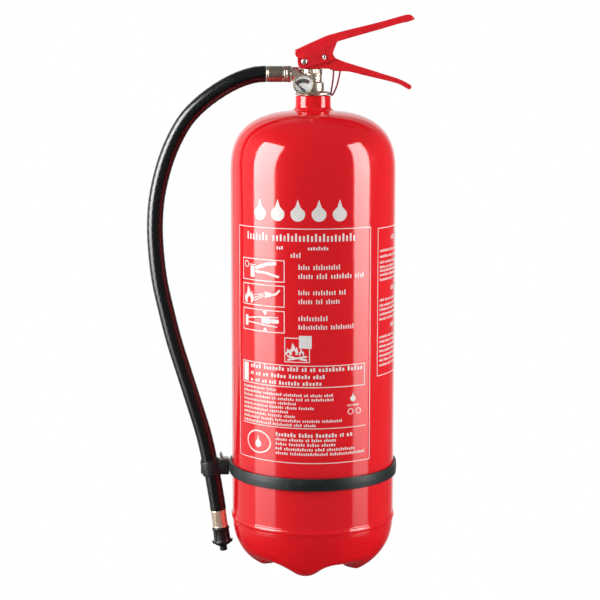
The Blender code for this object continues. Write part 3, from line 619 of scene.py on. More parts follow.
def curve_through(points, step):
    """Points about a step apart on a centripetal Catmull-Rom curve through 2-D or 3-D points."""
    pts = [Vector(p) for p in points]
    pts = [2 * pts[0] - pts[1]] + pts + [2 * pts[-1] - pts[-2]]
    dense = []
    for p0, p1, p2, p3 in zip(pts, pts[1:], pts[2:], pts[3:]):
        t1 = math.sqrt((p1 - p0).length)
        t2 = t1 + math.sqrt((p2 - p1).length)
        t3 = t2 + math.sqrt((p3 - p2).length)
        for i in range(24):
            t = t1 + (t2 - t1) * i / 24
            a1 = p0.lerp(p1, t / t1)
            a2 = p1.lerp(p2, (t - t1) / (t2 - t1))
            a3 = p2.lerp(p3, (t - t2) / (t3 - t2))
            b1 = a1.lerp(a2, t / t2)
            b2 = a2.lerp(a3, (t - t1) / (t3 - t1))
            dense.append(b1.lerp(b2, (t - t1) / (t2 - t1)))
    dense.append(pts[-2])
    lengths = [0.0]
    for a, b in zip(dense, dense[1:]):
        lengths.append(lengths[-1] + (b - a).length)
    count = max(2, round(lengths[-1] / step) + 1)
    even = []
    k = 0
    for i in range(count):
        want = lengths[-1] * i / (count - 1)
        while k < len(dense) - 2 and lengths[k + 1] < want:
            k += 1
        share = (want - lengths[k]) / (lengths[k + 1] - lengths[k])
        even.append(dense[k].lerp(dense[k + 1], min(share, 1.0)))
    return even


def smooth_chain(points, step=2.0):
    return [tuple(p) for p in curve_through(points, step)]


def swept(path, radius, sides, closed=False, relief=None, twist_axis=Vector((0, 1, 0))):
    """A round tube along 3-D points. relief(length, angle) is added to its radius."""
    bm = bmesh.new()
    rings = []
    travelled = 0.0
    count = len(path)
    for i, here in enumerate(path):
        before = path[i - 1] if i > 0 or closed else here
        after = path[(i + 1) % count] if i < count - 1 or closed else here
        along = (after - before).normalized()
        side = twist_axis.cross(along).normalized()
        up = along.cross(side)
        if i:
            travelled += (here - path[i - 1]).length
        ring = []
        for k in range(sides):
            angle = math.tau * k / sides
            r = radius + (relief(travelled, angle) if relief else 0.0)
            ring.append(bm.verts.new(here + r * (math.cos(angle) * side + math.sin(angle) * up)))
        rings.append(ring)
    for lower, upper in zip(rings, rings[1:]):
        join_rings(bm, lower, upper)
    if closed:
        join_rings(bm, rings[-1], rings[0])
    else:
        bm.faces.new(rings[0])
        bm.faces.new(rings[-1])
    return bm


# ---------------------------------------------------------------- cylinder

def dome_profile(shrink, first_z, hole_r, steps):
    radius = BODY_R - shrink
    height = DOME_H - shrink
    end = math.acos((hole_r / radius) ** (DOME_POWER / 2))
    points = [(radius, first_z)]
    for i in range(steps + 1):
        t = end * i / steps
        points.append((radius * math.cos(t) ** (2 / DOME_POWER),
                       SHOULDER_Z + height * math.sin(t) ** (2 / DOME_POWER)))
    return points


def foot_share(angle):
    """1 at a foot's middle, 0 in the valley between two feet. The angle is in degrees from -Y."""
    pitch = 360 / FEET
    off = abs((angle - FOOT_TURN + pitch / 2) % pitch - pitch / 2)
    return 0.5 + 0.5 * math.cos(math.pi * min(off / VALLEY_HALF_ANGLE, 1.0) ** 1.2)


def bottom_height(radius, angle):
    """Outer height of the bottom at a radius and an angle."""
    if radius >= PAD_INNER_R:
        share = min(radius / BODY_R, 1.0)
        foot = SEAM_Z - KNUCKLE_H * (1 - share ** KNUCKLE_POWER) ** (1 / KNUCKLE_POWER)
        foot = max(foot, 0.0)
    else:
        foot = CENTRE_Z * (1 - (radius / PAD_INNER_R) ** 2) ** 2
    middle = (PAD_INNER_R + PAD_OUTER_R) / 2
    if radius < middle:
        bump = math.sin(math.pi / 2 * radius / middle) ** 2
    else:
        bump = 0.5 + 0.5 * math.cos(math.pi * min((radius - middle) / (88 - middle), 1))
    return foot + VALLEY_LIFT * bump * (1 - foot_share(angle))


def tank():
    """Welded cylinder with its dome, the footed bottom, the weld bead and the neck."""
    outer = dome_profile(0, SEAM_Z + 0.3, NECK_R + 0.1, 56)
    inner = dome_profile(WALL, SEAM_Z + 0.3, NECK_R + 0.1, 20)
    piece("tank_shell", turned(outer + inner[::-1], ROUND), "red_paint", ["cylinder_body"], sharp=50)

    steps = 240
    outline = [BODY_R * math.sin(math.pi / 2 * (1 - i / 44)) for i in range(1, 44)]
    bm = bmesh.new()

    def ring(height_of, radius):
        verts = []
        for i in range(steps):
            angle = FOOT_TURN + 360 * i / steps
            a = math.radians(angle)
            verts.append(bm.verts.new((radius * math.sin(a), -radius * math.cos(a), height_of(angle))))
        return verts

    rings = [ring(lambda a: SEAM_Z, BODY_R - WALL), ring(lambda a: SEAM_Z, BODY_R)]
    for radius in outline:
        rings.append(ring(lambda a: bottom_height(radius, a), radius))
    rings.append([bm.verts.new((0, 0, CENTRE_Z))])
    rings.append([bm.verts.new((0, 0, CENTRE_Z + WALL))])
    for radius in outline[::-1]:
        if radius < BODY_R - 4:
            rings.append(ring(lambda a: bottom_height(radius, a) + WALL * (1.0 + 2.2 * (radius / BODY_R) ** 6), radius))
    for lower, upper in zip(rings, rings[1:] + rings[:1]):
        join_rings(bm, lower, upper)
    piece("tank_base", bm, "red_paint", ["bottom_cap"], sharp=60)

    def ripple(radius, height, angle):
        return radius + 0.06 * math.sin(150 * angle) + 0.05 * math.sin(67 * angle + 1.3)

    bead = [(89.2, 51.8), (90.0, 52.4), (90.35, 53.4), (90.15, 54.3), (90.9, 55.4), (91.25, 57.0), (90.95, 58.6),
            (90.2, 59.7), (90.4, 60.6), (90.0, 61.6), (89.2, 62.0)]
    piece("weld_bead", turned(round_corners(bead, 0.6, 3), 480, shape=ripple), "red_paint", sharp=60)

    neck = [(15.2, 499), (18.8, 499), (18.9, 505.0), (23.6, 505.0), (22.2, 505.9), (20.7, 507.0), (19.5, 508.6),
            (NECK_R, 510.6), (NECK_R, NECK_TOP_Z - 0.8), (NECK_R - 0.8, NECK_TOP_Z), (17.1, NECK_TOP_Z),
            (17.1, NECK_TOP_Z - 1.7), (15.2, NECK_TOP_Z - 1.7)]
    piece("neck_ring", turned(round_corners(neck, 0.9, 4, closed=True), 128), "red_paint", ["neck_boss"], sharp=50)


# ---------------------------------------------------------------- printing

PRINT_LOW = 0.02             # ink layer above the steel
PRINT_HIGH = 0.10
WRAP_STEP = 3.0              # spacing of the cuts that let flat artwork bend
BLOCK_HEIGHTS = (1.0, 0.72, 0.72, 0.88, 0.72, 1.0, 0.72)


class Artwork:
    """Flat shapes in millimetres, s along the cylinder's girth from -Y towards +X, and height z."""

    def __init__(self):
        self.bm = bmesh.new()

    def slab(self, outline):
        low = [self.bm.verts.new((s, PRINT_LOW, z)) for s, z in outline]
        high = [self.bm.verts.new((s, PRINT_HIGH, z)) for s, z in outline]
        self.bm.faces.new(low)
        self.bm.faces.new(high[::-1])
        for i in range(len(outline)):
            j = (i + 1) % len(outline)
            self.bm.faces.new((low[i], high[i], high[j], low[j]))

    def band(self, outer, inner):
        """The area between two outlines with the same number of points."""
        loops = []
        for outline, depth in ((outer, PRINT_LOW), (outer, PRINT_HIGH), (inner, PRINT_HIGH), (inner, PRINT_LOW)):
            loops.append([self.bm.verts.new((s, depth, z)) for s, z in outline])
        for first, second in zip(loops, loops[1:] + loops[:1]):
            join_rings(self.bm, first, second)

    def bar(self, s0, s1, z0, z1, corner=0.0):
        outline = [(s0, z0), (s1, z0), (s1, z1), (s0, z1)]
        if corner:
            outline = round_corners(outline, corner, 3, closed=True)
        self.slab(outline)

    def box(self, s0, s1, z0, z1, line=0.9):
        inner = [(s0 + line, z0 + line), (s1 - line, z0 + line), (s1 - line, z1 - line), (s0 + line, z1 - line)]
        self.band([(s0, z0), (s1, z0), (s1, z1), (s0, z1)], inner)

    def ellipse(self, centre, width, height, line):
        def loop(shrink):
            return [(centre[0] + (width - shrink) * math.cos(a), centre[1] + (height - shrink) * math.sin(a))
                    for a in (math.tau * i / 40 for i in range(40))]
        self.band(loop(0), loop(line))

    def stroke(self, points, width):
        """A line of even width through some points."""
        left = []
        right = []
        for i, point in enumerate(points):
            here = Vector(point)
            into = (here - Vector(points[i - 1])).normalized() if i else None
            out = (Vector(points[i + 1]) - here).normalized() if i < len(points) - 1 else None
            along = ((into or out) + (out or into)).normalized()
            square = Vector((-along.y, along.x)) * width / 2
            left.append(tuple(here + square))
            right.append(tuple(here - square))
        self.slab(left + right[::-1])

    def drop(self, centre, width, height):
        """A plain water drop."""
        half = width / 2
        foot = centre[1] - height / 2 + half
        round_part = arc((centre[0], foot), half, 20, -200, 19)
        self.slab(round_part + [(centre[0] - 0.35 * half, foot + 0.95 * half), (centre[0], centre[1] + height / 2),
                                (centre[0] + 0.35 * half, foot + 0.95 * half)])

    def text_row(self, s0, s1, z0, z1, words):
        """A row of small plain blocks in place of lettering, with the share of the row that each word takes."""
        height = z1 - z0
        gap = 0.55 * height
        pitch, fill = (0.52, 0.48) if height > 5.0 else (0.78, 0.60)
        room = s1 - s0 - gap * (len(words) - 1)
        at = s0
        for word in words:
            width = room * word / sum(words)
            count = max(1, round(width / (pitch * height)))
            step = width / count
            for i in range(count):
                tall = BLOCK_HEIGHTS[(i + count) % len(BLOCK_HEIGHTS)]
                self.bar(at + step * (i + 0.12), at + step * (i + 0.12 + fill), z0, z0 + tall * height)
            at += width + gap

    def wrap(self, name):
        """Bends the artwork round the cylinder and finishes it."""
        places = [vert.co.x for vert in self.bm.verts]
        cut_at = WRAP_STEP * math.floor(min(places) / WRAP_STEP) + 0.5
        while cut_at < max(places):
            geometry = self.bm.verts[:] + self.bm.edges[:] + self.bm.faces[:]
            bmesh.ops.bisect_plane(self.bm, geom=geometry, plane_co=(cut_at, 0, 0), plane_no=(1, 0, 0), dist=1e-5)
            cut_at += WRAP_STEP
        for vert in self.bm.verts:
            s, depth, z = vert.co
            angle = s / BODY_R
            vert.co = ((BODY_R + depth) * math.sin(angle), -(BODY_R + depth) * math.cos(angle), z)
        return piece(name, self.bm, "ink_white", sharp=50)


def front_print():
    """Generic printing: drops for the heading, bars for text, plain pictograms."""
    art = Artwork()
    for i in range(5):
        art.drop((-61.0 + 22.2 * i, 404.0), 15.5, 23.0)
    art.box(-96.6, 66.4, 134.4, 385.3, 0.8)
    art.text_row(-80.3, 47.0, 371.6, 379.8, [4, 12])
    art.text_row(-40.2, -32.2, 362.8, 366.5, [1])
    art.text_row(-6.4, 16.0, 362.8, 366.5, [1])
    art.text_row(-24.5, -12.7, 354.7, 359.8, [1])

    for low, high in ((328.0, 351.5), (301.5, 324.5), (274.0, 297.7)):
        art.box(-88.0, -31.0, low, high, 0.9)
    pictogram_pin(art, -59.5, 339.8)
    pictogram_aim(art, -59.5, 313.0)
    pictogram_squeeze(art, -59.5, 285.8)

    left = -16.2
    art.text_row(left, 29.1, 342.1, 347.5, [3, 7])
    art.text_row(left, 57.6, 332.6, 338.1, [4, 3, 6, 3])
    art.text_row(left, 35.5, 315.5, 320.6, [3, 6, 2])
    art.text_row(left, 28.7, 306.0, 311.2, [4, 2, 4])
    art.text_row(left, 15.7, 288.0, 293.4, [1])
    art.text_row(left, 45.1, 278.9, 284.1, [7, 6])

    art.bar(-31.3, -30.4, 243.5, 269.9)
    art.bar(-30.4, -3.8, 243.5, 244.4)
    art.bar(-30.4, -15.3, 269.0, 269.9)
    art.bar(-4.7, -3.8, 244.4, 258.7)
    art.bar(-15.3, -1.9, 258.7, 272.2)
    logs_and_flames(art, -17.5, 245.5)
    art.box(-88.8, 58.7, 216.5, 240.4, 0.9)
    art.bar(-86.6, -79.0, 218.6, 238.3)
    art.text_row(-75.4, 56.2, 233.9, 238.6, [5, 8, 4, 2, 2, 9, 6])
    art.text_row(-75.4, 12.6, 226.2, 230.5, [2, 3, 3, 7, 9, 5])
    art.text_row(-75.4, 9.4, 219.0, 223.2, [2, 3, 3, 4, 10, 9])

    ends = (-40.7, 21.4, 21.8, -18.2, 0.9, -26.9, -19.3, 31.4, 3.1)
    patterns = ([8, 3], [11, 9, 8, 2, 5, 4], [6, 8, 2, 7, 3, 2, 9], [9, 4], [11, 5, 4, 5], [10, 6], [8, 4, 3],
                [8, 5, 9, 6, 7], [9, 5, 2, 3])
    for i, (end, words) in enumerate(zip(ends, patterns)):
        low = 211.4 - 4.62 * i
        art.text_row(-87.3, end, low, low + 3.0, words)

    art.drop((43.8, 205.0), 6.4, 9.6)
    art.text_row(37.0, 51.0, 195.4, 197.6, [2, 3])
    art.ellipse((41.0, 189.6), 3.4, 3.4, 0.9)
    art.ellipse((50.4, 189.6), 3.4, 3.4, 0.9)

    art.bar(-88.8, 60.2, 172.2, 173.0)
    art.ellipse((-64.4, 153.9), 17.0, 12.6, 1.5)
    art.drop((-64.4, 154.4), 8.6, 13.6)
    left = -41.9
    art.text_row(left, 44.0, 162.9, 167.3, [9, 6, 9, 2, 3])
    art.text_row(left, 24.8, 158.2, 161.4, [6, 7, 2, 5, 6])
    art.text_row(left, 24.2, 153.2, 156.4, [6, 8, 6, 7])
    art.text_row(left, 46.5, 148.1, 151.3, [3, 12, 4, 12])
    art.text_row(left, 59.1, 143.2, 146.4, [5, 14, 14])
    art.wrap("print_front")


def side_print():
    """A second printed panel, round to the right."""
    art = Artwork()
    art.box(77.6, 190.0, 222.9, 382.9, 0.8)
    rows = ([9, 5, 7, 4], [6, 8, 3, 7, 5], [4, 9, 6, 5], [7, 3, 8, 2, 6], [10, 4, 6], [5, 7, 5, 8, 3])
    for low in (368.5, 313.6, 273.2):
        art.text_row(107.0, 160.0, low, low + 5.2, [8, 6])
    tops = (359.7, 353.5, 347.3, 342.2, 338.2, 333.7, 328.6, 306.5, 300.8, 296.2, 291.1, 286.0, 266.5, 261.4, 256.3,
            251.2, 246.1, 241.0, 235.9)
    for i, high in enumerate(tops):
        end = 184.0 - 13.0 * (i * i % 5)
        art.text_row(81.5, end, high - 2.8, high, rows[i % len(rows)])
    art.wrap("print_side")


def pictogram_pin(art, s, z):
    """Two levers, a pin with its ring and an arrow."""
    art.stroke([(s - 8, z + 1.5), (s + 8, z + 7.0), (s + 19, z + 8.0)], 3.6)
    art.stroke([(s - 8, z - 1.8), (s + 7, z - 2.6), (s + 22, z - 6.4)], 2.4)
    art.bar(s - 15.5, s - 9.6, z - 8.5, z + 3.5, 1.0)
    art.ellipse((s - 21.5, z + 5.0), 3.6, 3.6, 1.0)
    art.stroke([(s - 17.4, z + 5.0), (s - 8.0, z + 4.9)], 0.9)


def pictogram_aim(art, s, z):
    """A flame on the left and a nozzle that sprays at its foot."""
    flame(art, s - 18.0, z - 9.2, 1.2)
    art.slab([(s + 5.0, z - 2.4), (s + 12.5, z - 0.6), (s + 12.5, z + 3.0), (s + 5.0, z + 4.2)])
    art.stroke([(s + 12.9, z + 1.2), (s + 18.5, z + 2.2), (s + 23.0, z + 6.6)], 2.2)
    for drop in (-1, 0, 1):
        art.stroke([(s - 10.5, z - 3.6 + 3.0 * drop), (s + 3.2, z + 0.4 + 1.4 * drop)], 0.8)


def pictogram_squeeze(art, s, z):
    """A hand on a pair of levers between two arrows."""
    art.stroke([(s - 19, z + 1.4), (s - 6, z + 3.4), (s + 21, z + 4.6)], 1.2)
    art.stroke([(s - 19, z - 2.8), (s - 6, z - 3.4), (s + 20, z - 5.6)], 1.2)
    art.bar(s + 0.5, s + 12.0, z - 2.6, z + 2.8, 1.4)
    art.bar(s + 12.6, s + 22.0, z - 1.6, z + 2.4, 1.2)
    art.bar(s - 24.0, s - 19.4, z - 7.0, z + 4.4, 1.0)
    art.slab([(s + 2.0, z + 10.2), (s + 8.0, z + 10.2), (s + 5.0, z + 6.4)])
    art.slab([(s + 2.0, z - 10.4), (s + 5.0, z - 6.8), (s + 8.0, z - 10.4)])


def flame(art, s, z, size):
    """A plain flame that stands at (s, z)."""
    points = [(-5.0, 0.0), (-6.4, 3.6), (-5.2, 7.6), (-4.4, 5.4), (-2.6, 9.6), (-1.6, 15.6), (1.2, 10.8), (2.4, 7.2),
              (3.6, 10.4), (5.4, 6.4), (5.8, 3.0), (4.6, 0.0), (2.2, 0.0), (2.6, 3.0), (0.4, 6.2), (-2.4, 3.0),
              (-2.0, 0.0)]
    art.slab([(s + size * x, z + size * y) for x, y in points])


def logs_and_flames(art, s, z):
    flame(art, s - 3.6, z + 6.0, 0.85)
    flame(art, s - 9.6, z + 5.6, 0.5)
    flame(art, s + 4.8, z + 5.6, 0.5)
    art.stroke([(s - 10.5, z + 0.6), (s + 10.5, z + 4.6)], 2.0)
    art.stroke([(s - 10.5, z + 4.6), (s - 2.6, z + 3.1)], 2.0)
    art.stroke([(s + 2.6, z + 2.1), (s + 10.5, z + 0.6)], 2.0)


# ---------------------------------------------------------------- valve

def knurl(radius, height, angle):
    """Square teeth round the valve's collar."""
    if radius < 10.5 or not 545.0 < height < 549.9:
        return radius
    wave = math.sin(22 * angle) * 2.4
    return radius - 0.45 + 0.45 * max(-1.0, min(1.0, wave))


def valve():
    """Plated brass body: screwed plug, flange, steps, knurled collar, outlet boss and gauge boss."""
    outer = [(0, 498), (14.2, 498), (14.6, 498.8), (14.6, FLANGE_Z), (FLANGE_R - 0.5, FLANGE_Z),
             (FLANGE_R, 522.4), (FLANGE_R, 523.6), (18.0, 525.0), (14.8, 526.1), (11.7, 526.6), (11.7, 534.4),
             (10.9, 535.6), (9.3, 536.4), (9.3, 542.8), (9.9, 543.3), (9.9, 544.6), (9.4, 545.0), (9.4, 549.7),
             (7.8, 549.7), (7.8, 553.4), (0, 553.4)]
    casting = solid("valve_casting", turned(round_corners(outer, 0.35, 3), 144, closed=False))
    collar = [(6.5, 544.9), (10.4, 544.9), (11.5, 545.4), (11.5, 549.3), (10.6, 549.8), (6.5, 549.8)]
    ring = turned(collar, 208, shape=knurl)
    along = Matrix.Translation((0, 0, OUTLET_Z)) @ turn_about("Y", -90)
    front = Matrix.Translation((GAUGE_X, 0, GAUGE_Z)) @ turn_about("X", 90)
    outlet = [(0, 0), (5.1, 0), (5.1, 15.4), (7.2, 15.4), (7.6, 15.8), (7.6, 22.9), (7.2, -OUTLET_END_X),
              (0, -OUTLET_END_X)]
    gauge_boss = [(0, 0.3), (6.4, 0.3), (6.4, 17.9), (5.9, 18.4), (0, 18.4)]
    combine(casting, "UNION", solid("tool", ring, Matrix.Translation((COLLAR_X, 0, 0))),
            solid("tool", turned(outlet, 64, closed=False), along),
            solid("tool", turned(gauge_boss, 64, closed=False), front))
    bore = [(0, 497), (7.5, 497), (7.5, 514), (6.0, 514), (6.0, 537.2), (3.9, 537.2), (3.9, 540.2),
            (5.7, 540.2), (5.7, 556), (0, 556)]
    combine(casting, "DIFFERENCE", solid("tool", turned(bore, 64, closed=False)),
            solid("tool", rod(3.0, 0.1, 16), along), solid("tool", rod(4.7, 12.5, 30), along),
            solid("tool", rod(4.1, 9.5, 25), front))
    dress(applied(casting), "nickel", ["valve_body"], sharp=32)


# ---------------------------------------------------------------- handles

def lever_outline():
    """Side view of the squeeze lever, clockwise from the nose."""
    nose = arc((-16.4, 567.6), 3.7, 215, 95, 10)
    top = smooth_chain([(-15.2, 571.9), (-9.0, 574.9), (-1.0, 578.5), (7.0, 582.0), (14.0, 585.0), (24.0, 587.9),
                        (37.4, 591.4), (58.0, 596.3), (80.0, 602.0), (92.0, 605.4), (97.9, 607.0)], 3.0)
    beak = smooth_chain([(97.9, 607.0), (101.5, 607.5), (104.4, 606.9), (107.0, 605.1), (108.6, 603.2)], 1.2)
    tip = beak[1:] + [(108.8, 602.5), (107.3, 601.7)]
    under = smooth_chain([(101.8, 600.0), (96.0, 599.0), (80.0, 594.4), (68.8, 591.2), (45.0, 584.6)], 3.0)
    inside = round_corners([(45.0, 584.6), (25.8, 579.0), (20.8, 566.0), (24.0, 561.2), (16.2, 557.7)], 2.2, 5)
    cheek = [(10.0, 555.9), (2.0, 554.2), (-7.5, 552.0), (-13.0, 550.7)]
    corner = [(-14.2, 550.8), (-15.4, 552.2), (-16.4, 554.0)]
    front = [(-16.7, 558.0), (-16.9, 561.8), (-18.8, 563.9)]
    return nose + top[1:] + tip + under + inside[1:] + cheek + corner + front


def handle_outline():
    """Side view of the carry handle, clockwise from behind the pivot."""
    top = smooth_chain([(-14.9, 560.5), (-12.6, 565.0), (-8.0, 566.8), (8.0, 568.6)], 2.0)
    shoulder = round_corners([(8.0, 568.6), (15.5, 568.6), (24.0, 561.2), (33.0, 557.6)], 3.0, 5)
    arm = smooth_chain([(33.0, 557.6), (45.0, 553.9), (62.1, 548.7), (77.0, 544.0), (91.9, 539.3), (99.0, 536.1)],
                       3.0)
    tip = arc((103.5, 530.6), 2.6, 45, -110, 10)
    under = smooth_chain([(98.0, 530.9), (92.8, 533.6), (84.0, 536.2), (74.8, 538.4), (56.0, 542.8), (38.4, 546.9),
                          (29.0, 547.4), (22.2, 547.8), (16.5, WEB_Z)], 3.0)
    return top + shoulder[1:] + arm[1:] + tip + under + [(-14.9, WEB_Z)]


def offset_chain(chain, distance):
    moved = []
    for i, (x, z) in enumerate(chain):
        before = chain[max(i - 1, 0)]
        after = chain[min(i + 1, len(chain) - 1)]
        dx = after[0] - before[0]
        dz = after[1] - before[1]
        length = math.hypot(dx, dz)
        moved.append((x + distance * dz / length, z - distance * dx / length))
    return moved


def pressed(outline, half_width, radius, bent):
    """A slab across Y from a clockwise outline, with its side edges rounded along the bent stretch of points."""
    first, last = bent
    count = len(outline)
    inward = []
    for i in range(count):
        along = Vector(outline[(i + 1) % count]) - Vector(outline[i - 1])
        share = min(1.0, max(0.0, (i - first) / 3), max(0.0, (last - i) / 3))
        inward.append(share * Vector((along.y, -along.x)).normalized())
    steps = 6
    half = [(math.sin(math.pi / 2 * k / steps), 1 - math.cos(math.pi / 2 * k / steps)) for k in range(steps + 1)]
    layers = [(-half_width + radius - radius * out, radius * inset) for out, inset in half[::-1]]
    layers += [(half_width - radius + radius * out, radius * inset) for out, inset in half]
    bm = bmesh.new()
    rings = []
    for y, inset in layers:
        rings.append([bm.verts.new((x + inset * push.x, y, z + inset * push.y))
                      for (x, z), push in zip(outline, inward)])
    for lower, upper in zip(rings, rings[1:]):
        join_rings(bm, lower, upper)
    bm.faces.new(rings[0])
    bm.faces.new(rings[-1])
    return bm


def hole(place_at, radius, half_width=20):
    at = Matrix.Translation((place_at[0], 0, place_at[1])) @ turn_about("X", 90)
    return solid("tool", rod(radius, -half_width, half_width, 40), at)


def lever():
    """Pressed channel, open below, that rides with the lever's body."""
    outline = lever_outline()
    roof_end = max(range(len(outline)), key=lambda i: outline[i][0]) + 2
    shell = solid("lever_shell", pressed(outline, LEVER_HALF_WIDTH, 2.2, (0, roof_end)))
    roof = [(-15.6, 572.0), (-1.0, 578.5), (14.0, 585.0), (24.0, 587.9), (37.4, 591.4), (58.0, 596.3),
            (80.0, 602.0), (97.9, 607.0), (103.0, 607.0)]
    pocket = [(-15.4, 563.4)] + offset_chain(roof, SHEET) + [(104.6, 590), (60, 540), (-30, 540), (-30, 563.4)]
    room = prism(pocket, LEVER_HALF_WIDTH - SHEET)
    combine(shell, "DIFFERENCE", solid("tool", room), hole(PIVOT, 2.6), hole(PIN, PIN_R + 0.9))
    soften(shell, 0.3, 2, 40)
    dress(applied(shell), "handle_paint_with_painted_light", ["squeeze_lever"], "lever", 40)


def pin_slot():
    """Slot that follows the safety pin as the lever turns about its rivet."""
    dx = PIN[0] - PIVOT[0]
    dz = PIN[1] - PIVOT[1]
    reach = math.hypot(dx, dz)
    start = math.degrees(math.atan2(dz, dx))
    end = start - LEVER_TRAVEL
    half = PIN_R + 0.3
    low = (PIVOT[0] + reach * math.cos(math.radians(end)), PIVOT[1] + reach * math.sin(math.radians(end)))
    outline = (arc(PIN, half, start, start + 180, 13) + arc(PIVOT, reach - half, start, end, 6)[1:-1]
               + arc(low, half, end - 180, end, 13) + arc(PIVOT, reach + half, end, start, 6)[1:-1])
    return prism(outline[::-1], 20)


def handle():
    """Pressed channel, open above, clamped on the valve."""
    outline = handle_outline()
    web_start = max(range(len(outline)), key=lambda i: outline[i][0]) - 3
    shell = solid("handle_shell", pressed(outline, HANDLE_HALF_WIDTH, 2.0, (web_start, len(outline) - 1)))
    web = [(-30.0, WEB_Z), (16.5, WEB_Z), (22.2, 547.8), (38.4, 546.9), (56.0, 542.8), (74.8, 538.4),
           (92.8, 533.6), (101.0, 529.6)]
    pocket = offset_chain(web, -SHEET) + [(104.0, 533.5), (104, 580), (-30, 580)]
    holes = [solid("tool", rod(1.2, 540, 556, 24), Matrix.Translation((x, SEAL_Y, 0))) for x in SEAL_HOLES]
    combine(shell, "DIFFERENCE", solid("tool", prism(pocket[::-1], HANDLE_HALF_WIDTH - SHEET)),
            solid("tool", rod(8.2, 545, 556)), hole(PIVOT, 2.6), solid("tool", pin_slot()), *holes)
    soften(shell, 0.3, 2, 40)
    dress(applied(shell), "handle_paint_with_painted_light", ["carry_handle"], "root", 40)


def handle_hardware():
    """Rivet, safety pin, pull ring and the thin plastic seal."""
    at_pivot = Matrix.Translation((PIVOT[0], 0, PIVOT[1])) @ turn_about("X", 90)
    head = LEVER_HALF_WIDTH + 0.3
    cap = [(0, head + 1.6), (1.1, head + 1.55), (2.0, head + 1.3), (2.8, head + 0.9), (3.2, head + 0.4), (3.2, head)]
    rivet = [(r, -z) for r, z in cap] + [(2.3, -head), (2.3, head)] + cap[::-1]
    piece("rivet", turned(round_corners(rivet, 0.25, 3), 48, closed=False), "steel", ["pivot_rivet"], at=at_pivot)

    at_pin = Matrix.Translation((PIN[0], 0, PIN[1])) @ turn_about("X", 90)
    front = LEVER_HALF_WIDTH + 1.4
    back = LEVER_HALF_WIDTH + 4.5
    shank = [(0, -back), (1.5, -back), (PIN_R, -back + 0.4), (PIN_R, front - 0.7), (1.3, front), (0, front + 0.2)]
    piece("pin_shank", turned(round_corners(shank, 0.3, 3), 40, closed=False), "steel", ["safety_pin"], "pin",
          at=at_pin)

    ring_r = 11.0
    ring_centre = back + 0.3 + 1.1 + ring_r
    circle = []
    for i in range(96):
        angle = math.tau * i / 96
        circle.append(Vector((PIN[0] + ring_r * math.sin(angle), ring_centre - ring_r * math.cos(angle), PIN[1])))
    piece("pin_ring", swept(circle, 1.1, 16, closed=True, twist_axis=Vector((0, 0, 1))), "steel", ["pull_ring"], "pin")

    loop = [(22.0, 551.6), (21.9, 548.5), (21.6, 541.0), (20.6, 533.0), (19.6, 527.0), (19.3, 523.2), (19.8, 521.5),
            (21.0, 522.4), (22.9, 525.6), (25.0, 530.5), (26.9, 537.0), (28.2, 543.0), (29.0, 548.5),
            (28.6, 551.2), (25.5, 552.2)]
    dense = curve_through([(x, SEAL_Y, z) for x, z in loop + loop[:1]], 0.9)[:-1]
    piece("seal_loop", swept(dense, 0.92, 12, closed=True), "red_plastic", ["tamper_seal"])


def stem_spring():
    """The spring under the stem's shoulder, which shortens as the stem is pressed down."""
    low, high, coil_r, wire_r, turns, per_turn = 516.2, 532.2, 4.0, 0.5, 5, 36
    count = turns * per_turn + 1
    coil = []
    for i in range(count):
        angle = math.tau * i / per_turn
        z = low + (high - low) * i / (count - 1)
        coil.append(Vector((coil_r * math.cos(angle), coil_r * math.sin(angle), z)))
    spring = piece("spring", swept(coil, wire_r, 12, twist_axis=Vector((0, 0, 1))), "steel", ["stem_spring"])
    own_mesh(spring)


# ---------------------------------------------------------------- gauge

def dial_point(angle, reach):
    """A point on the dial at an angle about the needle's pivot, kept clear of the rim."""
    turn = math.radians(angle)
    across = NEEDLE_DROP * math.sin(turn)
    room = NEEDLE_DROP * math.cos(turn) + math.sqrt(DIAL_R ** 2 - across ** 2)
    reach = min(reach, room)
    return GAUGE_X + reach * math.sin(turn), GAUGE_Z - NEEDLE_DROP + reach * math.cos(turn)


